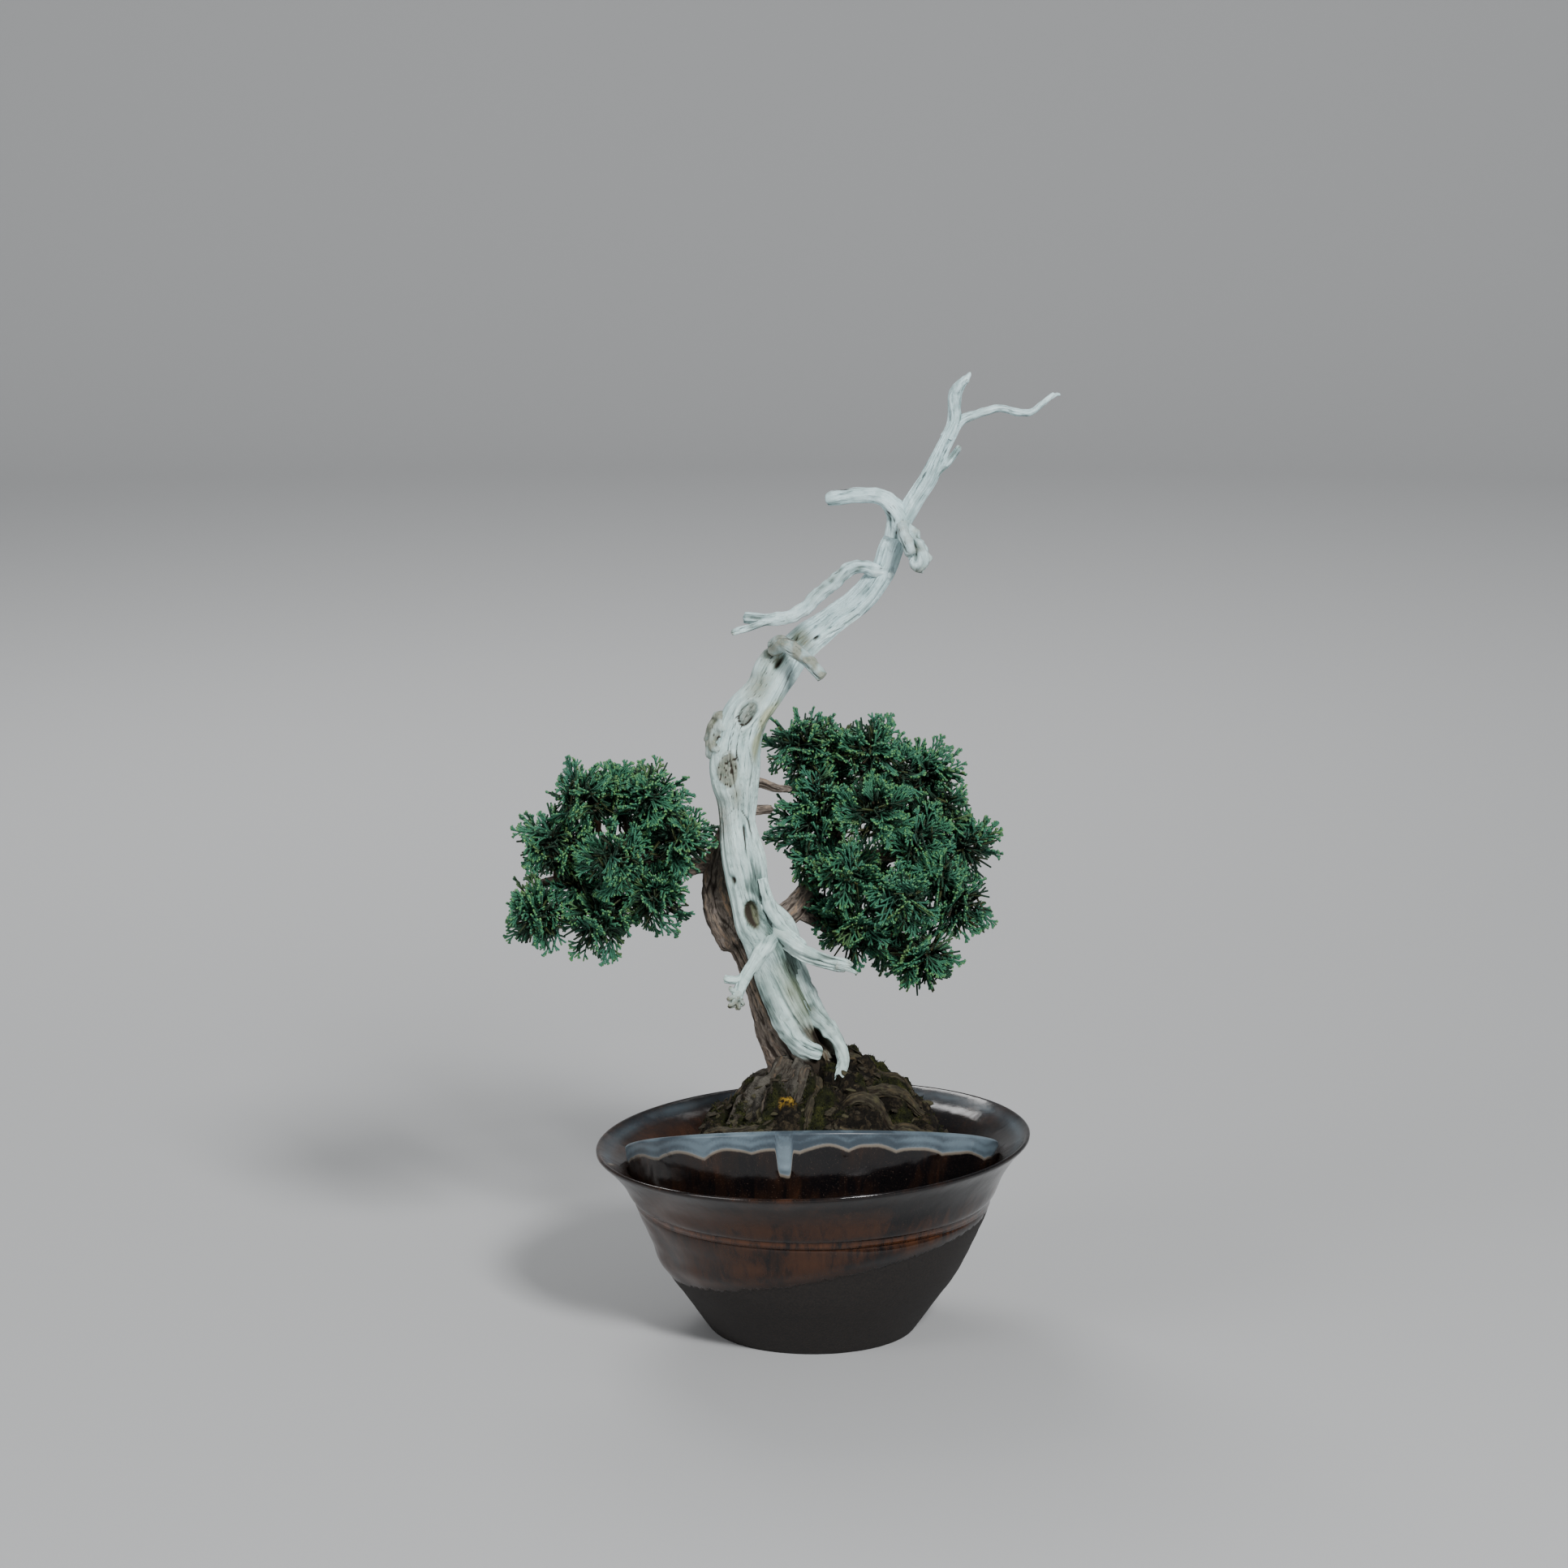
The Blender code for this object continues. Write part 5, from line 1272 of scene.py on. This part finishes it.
def soil_bed():
    """A disc of soil: a polar grid with lattice noise for height, down to the bowl's floor."""
    under_radius, under_depth = np.transpose(SOIL_UNDER)
    rows = np.linspace(0.02, 1, SOIL_ROWS) * SOIL_REACH
    rows = np.concatenate([rows, under_radius])[:, None]
    depth = np.concatenate([np.zeros(SOIL_ROWS), under_depth])[:, None]
    turn = turns_round(SOIL_TURNS)
    x, y = rows * np.cos(turn), rows * np.sin(turn)
    z = SOIL_TOP - 0.8 - depth + 0 * turn
    where = together(x, y, z)
    rough = 0.9 * lattice_noise(where * 0.5, 81) + 0.5 * lattice_noise(where * 1.3, 82)
    where[..., 2] += rough * (depth == 0)
    where = where[:, ::-1]
    tint = together(*(lattice_noise(where * scale, 83) for scale in (0.8, 1.1, 0.4))) * 0.5 + 0.5
    return tube_shell(where, {"grit": tint})


def gritty_soil():
    """Grit: grains from dark brown to grey and ochre, dull and rough."""
    finish = Finish("gritty_soil")
    tint, shade, _ = finish.split(finish.attribute("grit"))
    speckle = finish.noise(finish.place(), 1.3, 4, 0.7)
    ochre = finish.mix(tint, (82, 66, 50), (140, 116, 88))
    grey = (shade.step(0.6, 0.8), (96, 92, 88))
    dark = (speckle.step(0.62, 0.35) * 0.8, (44, 35, 28))
    colour = finish.layered(ochre, grey, dark)
    return finish.shade(colour, 0.95, speckle, 0.0012, Specular_IOR_Level=0.2)


soil = make_piece("grit_bed", [soil_bed(), grains(1300, 84)], gritty_soil())
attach(soil, "root")
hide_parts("soil")


# The bowl: thrown stoneware under a dark, dripping glaze, with a raised collar round its front
# half and three drain holes in its base. It is one fired piece, and it stands on its base.
BOWL_TURNS = 256
COLLAR_ROWS = 200
BASE_RADIUS = 46.0
RIM_RADIUS = 95.0
RIM_HEIGHT = 83.4
RIM_SLOPE = 0.042  # the rim warped in the kiln and stands higher on the right
WARP_FROM = 50.0
FLOOR = 7.0
HUB = 20.0  # within this radius the base and the floor are closed by flat fans
FOOT_RIB = 58.0  # height of the edge between the foot's wall and the bowl's
HOLES_OUT = 24.0  # how far from the middle the drain holes are
HOLE_RADIUS = 5.5
BOWL_OUTSIDE = [
    (BASE_RADIUS - 1.0, 0.0), (BASE_RADIUS, 1.0), (56.0, 15.4), (65.0, 28.4), (75.0, 49.4),
    (77.2, 55.4), (76.8, 58.2), (80.2, 61.6), (84.0, 69.5), (89.6, 77.2), (94.5, 82.3),
    (RIM_RADIUS, RIM_HEIGHT), (RIM_RADIUS - 1.0, RIM_HEIGHT + 0.8),
]
BOWL_INSIDE = [
    (88.0, 80.2), (81.0, 75.2), (76.6, 66.0), (74.2, 57.0), (70.0, 46.0), (60.0, 28.0),
    (40.0, FLOOR + 0.5),
]
COLLAR_HALF_TURN = 93.0
COLLAR_FOOT = 75.4
COLLAR_END = 80.8
COLLAR_FRONT = 110.6
COLLAR_LEVEL = 0.032  # of the rim's slope that the collar's top makes up for
COLLAR_FOOT_RADIUS = 81.0
COLLAR_FLARE = 0.115
COLLAR_WALL = 2.8
COLLAR_EDGE = 0.8
COLLAR_ROOT = 57.0
COLLAR_ROOT_RADIUS = 74.6
ROUNDED_FROM = 78.0
ROUNDED_DROP = 9.5
DIP_MIDDLE = 40.5  # height of the line that the glaze reaches down to, and its slant
DIP_SLANT = 15.0
GLAZE_ROLL = 1.3  # swell of the thick glaze that gathered over that line
DRIP_SIDE = -0.148  # sine of the turn at which the collar's band ran down
# Where thick glaze ran down the collar: turn from the front in degrees, width, length, depth
RUNS = [
    (-8.4, 1.6, 19, 1.0), (-31, 1.3, 11, 0.5), (-19, 0.9, 9, 0.4), (9, 1.2, 12, 0.6),
    (22, 1.0, 9, 0.4), (38, 1.3, 12, 0.6), (55, 1.0, 8, 0.4), (-47, 1.1, 9, 0.5),
]


def warped(x, y, z):
    """The kiln's warp: the height grows with x, by a smooth share above the foot of the wall."""
    share = eased(z, WARP_FROM, RIM_HEIGHT)
    return together(x, y, z + RIM_SLOPE * x * share)


def bowl_shell():
    """The bowl: its profile, run through smoothly, turned round the middle and warped.

    Faint throwing rings and slow unevenness of the glaze are added to the radius, and so is
    the roll of thick glaze outside, a bell over the slanting dip line.
    """
    corners = np.array([(out, 0.0, up, 0.0) for out, up in BOWL_OUTSIDE + BOWL_INSIDE])
    rows = follow(corners[1:], 1.1)
    profile = np.vstack([[HUB, 0.0], corners[0, [0, 2]], rows[:, [1, 3]], [HUB, FLOOR + 0.5]])
    turn = turns_round(BOWL_TURNS)
    z = profile[:, 1:]
    wobble = 0.25 * fibres(turn, z, 1.2, 0.03, 91) + 0.06 * fibres(turn, z, 4, 0.05, 92)
    rings = 0.05 * np.sin(z * 0.9) * eased(z, 3, 12) * eased(z, FOOT_RIB, 50)
    outside = np.arange(len(profile))[:, None] < profile[:, 1].argmax()
    over = z - DIP_MIDDLE - DIP_SLANT * np.cos(turn)
    roll = GLAZE_ROLL * bell((over - 6.5) / 4.5) * outside * eased(z, FOOT_RIB, 54)
    radius = profile[:, :1] + (wobble + rings) * eased(z, 0.5, 4) * (profile[:, :1] > 40) + roll
    surface = warped(radius * np.cos(turn), radius * np.sin(turn), z + 0 * turn)
    return tube_shell(surface, {})


def collar_shell():
    """The collar: a section carried round the front, its top a cosine of the turn.

    The section is a leaning wall with a rounded top. Runs of glaze swell its outside: each is
    a bell across, held down its length, with a bead at its lower end.
    """
    turn = np.linspace(-COLLAR_HALF_TURN, COLLAR_HALF_TURN, COLLAR_ROWS)[:, None]
    forward = np.clip(np.cos(np.radians(turn)), 0, 1)
    top = COLLAR_END + (COLLAR_FRONT - COLLAR_END) * forward
    late = np.clip((turn - ROUNDED_FROM) / (COLLAR_HALF_TURN - ROUNDED_FROM), 0, 1)
    top = top - ROUNDED_DROP * late**2 - COLLAR_LEVEL * COLLAR_FOOT_RADIUS * np.sin(np.radians(turn))
    foot = np.minimum(COLLAR_FOOT, top - COLLAR_WALL)
    rise = top - foot
    outer = COLLAR_FOOT_RADIUS + COLLAR_FLARE * rise
    # Round the section: up the outside, over the top, down the inside and back underneath
    out, back = np.linspace(0, 1, 40), np.linspace(1, 0, 24)
    up = np.concatenate([np.zeros(6), out, np.ones(7), back, np.zeros(5)])[None, :]
    bend = np.concatenate([np.zeros(46), np.linspace(0, math.pi, 7), np.full(29, math.pi)])[None, :]
    ends = np.linspace(1, 0, 7)[:-1], np.linspace(0, 1, 6)[1:]
    under = np.concatenate([ends[0], np.zeros(71), ends[1]])[None, :]
    half = 0.5 * COLLAR_WALL
    thick = half + 0.6 * under
    middle = outer - half - COLLAR_FLARE * rise * (1 - up)
    radius = middle + thick * np.cos(bend) - under * (middle - half - COLLAR_ROOT_RADIUS)
    height = foot + (rise - COLLAR_EDGE) * up + COLLAR_EDGE * np.sin(bend) * (up == 1)
    height = height - under * (foot - COLLAR_ROOT)
    below = top - height
    outside = (bend < 1) * (under == 0)
    swell = 0.12 * lattice_noise(together(turn * 0.25 + 0 * below, below * 0.12, 0 * below), 93)
    for where, width, length, depth in RUNS:
        across = bell((turn - where) / width)
        down = eased(below, 2, 5) * eased(below, length, length - 2.5)
        bead = bell((below - length + 2.2) / 2.0)
        swell = swell + depth * across * (0.7 * down + 0.6 * bead)
    radius = radius + swell * outside * eased(up, 0, 0.12)
    angle = np.radians(turn - 90)
    surface = warped(radius * np.cos(angle), radius * np.sin(angle), height)
    return tube_shell(surface[:, ::-1], {})


def dark_glaze():
    """The bowl's glaze, placed by turn and height.

    Matte brown clay shows below a slanting dip line. Above it the glaze is glossy brown and
    black, and round the collar's top it breaks into a blue-grey band with a ragged edge.
    """
    finish = Finish("dark_glaze")
    point = finish.place()
    x, y, z = finish.split(point)
    radius = (x * x + y * y).maths("SQRT")
    front = (y * -1) / radius.maths("MAXIMUM", 1)
    side = x / radius.maths("MAXIMUM", 1)
    broad = finish.noise(point, 0.045, 3, 0.5)
    streaks = finish.noise(finish.stretch(point, (1, 1, 0.18)), 0.30, 4, 0.6, 0.5)
    waves = finish.noise(finish.stretch(point, (1, 1, 0.5)), 0.05, 1.0, 0.4, 0.3)
    fine = finish.noise(point, 1.1, 4, 0.65)
    speck = finish.noise(point, 2.6, 2, 0.5)

    top = front.maths("MAXIMUM", 0) * (COLLAR_FRONT - COLLAR_END) + COLLAR_END
    top = top + x * (RIM_SLOPE - COLLAR_LEVEL)
    below = top - z
    on_collar = (z - x * RIM_SLOPE).step(79, 82) * (94 - radius).step(0, 4)
    scallops = (side * 13 + 0.9).maths("SINE").maths("ABSOLUTE") * 2.4
    ragged = below + scallops + (waves - 0.5) * -6 + (fine - 0.5) * 0.6
    from_drip = (side - DRIP_SIDE).maths("ABSOLUTE")
    drip = ((from_drip * 26) ** 8 * -1).maths("EXPONENT")
    ragged = ragged - drip * 11 - ((from_drip * 9) ** 2 * -1).maths("EXPONENT") * 2
    band = ragged.step(9.6, 8.8) * on_collar * (1 - radius.step(86, 88) * 0.6)
    band_edge = ragged.step(8.4, 9.2) * ragged.step(10.6, 9.6) * on_collar
    layers = (ragged * 1.5).maths("SINE") * 0.09

    glaze = finish.ramp(
        broad * 0.55 + streaks * 0.45 - side * 0.06,
        (0.30, (8, 8, 10)), (0.46, (14, 11, 12)), (0.58, (31, 20, 15)),
        (0.74, (64, 38, 24)),
    )
    cloudy = (waves + layers + (fine - 0.5) * 0.3).step(0.25, 0.75)
    blue = finish.mix(cloudy, (52, 63, 72), (98, 114, 124))
    clay = finish.mix(fine.step(0.35, 0.7), (20, 17, 16), (38, 32, 28))
    # A painted highlight: the drip down the collar's band is lightened towards pale blue-white.
    drip_highlight = drip * band * (below + fine * 3).step(1, 11)
    rusty = z.step(79, 66) * (streaks * 0.5 + broad * 0.6 - side * 0.10).step(0.40, 0.66)
    rib = (z - FOOT_RIB).maths("ABSOLUTE").step(2.2, 0.3)
    over_dip = z - (side * DIP_SLANT + DIP_MIDDLE + (streaks - 0.5) * 5)
    bare = over_dip.step(0.6, -0.6)
    colour = finish.layered(
        glaze,
        (band, blue),
        # The drip's painted highlight.
        (drip_highlight * 0.45, (140, 158, 168)),
        (band_edge * 0.55, (146, 136, 122)),
        (speck.step(0.66, 0.74) * 0.5, (116, 96, 82)),
        (rusty * 0.8, (60, 35, 20)),
        (rib * streaks.step(0.3, 0.6) * 0.55, (104, 60, 32)),
        (over_dip.step(-0.4, 0.6) * over_dip.step(3.2, 1.0) * 0.6, (24, 16, 12)),
        (bare, clay),
    )

    roughness = 0.10 + fine * 0.10 + band * 0.22 + bare * 0.62
    height = broad * 0.9 * (1 - bare) + fine * (0.03 + bare * 0.4) + (1 - bare) * 0.5
    return finish.shade(colour, roughness, height, 0.0007, Specular_IOR_Level=0.38, IOR=1.55)


glaze = dark_glaze()
bowl = make_piece("bowl", [bowl_shell()], glaze)
turn = turns_round(32)
ends = np.array([[-2.0], [FLOOR + 2.0]])
cutters = []
for hole, bearing in enumerate(math.pi / 2 + turns_round(3)[0]):
    x = HOLES_OUT * math.cos(bearing) + HOLE_RADIUS * np.cos(turn)
    y = HOLES_OUT * math.sin(bearing) + HOLE_RADIUS * np.sin(turn)
    walls = together(x, y, ends)
    cutter = make_piece(f"hole_{hole}", [tube_shell(walls, {})], glaze)
    cut = bowl.modifiers.new(cutter.name, "BOOLEAN")
    cut.operation = "DIFFERENCE"
    cut.solver = "MANIFOLD"
    cut.object = cutter
    cutters.append(cutter)
drilled = bpy.data.meshes.new_from_object(bowl.evaluated_get(bpy.context.evaluated_depsgraph_get()))
bowl.modifiers.clear()
bowl.data = drilled
for cutter in cutters:
    bpy.data.objects.remove(cutter)
collar = make_piece("bowl_collar", [collar_shell()], glaze)
for piece in (bowl, collar):
    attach(piece, "root")
    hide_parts("pot")


# The drain meshes: squares of moulded plastic net over the holes, held down by the soil. The
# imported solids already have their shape, so they only get their finish here.
plastic = Finish("net_plastic")
wear = plastic.noise(plastic.place(), 0.8, 3)
net = plastic.shade(
    plastic.mix(wear, (34, 36, 35), (62, 62, 58)), 0.55 + wear * 0.2, wear, 0.0001
)
for name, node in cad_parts.items():
    if name.startswith("drain_mesh"):
        node.data.materials.clear()
        node.data.materials.append(net)
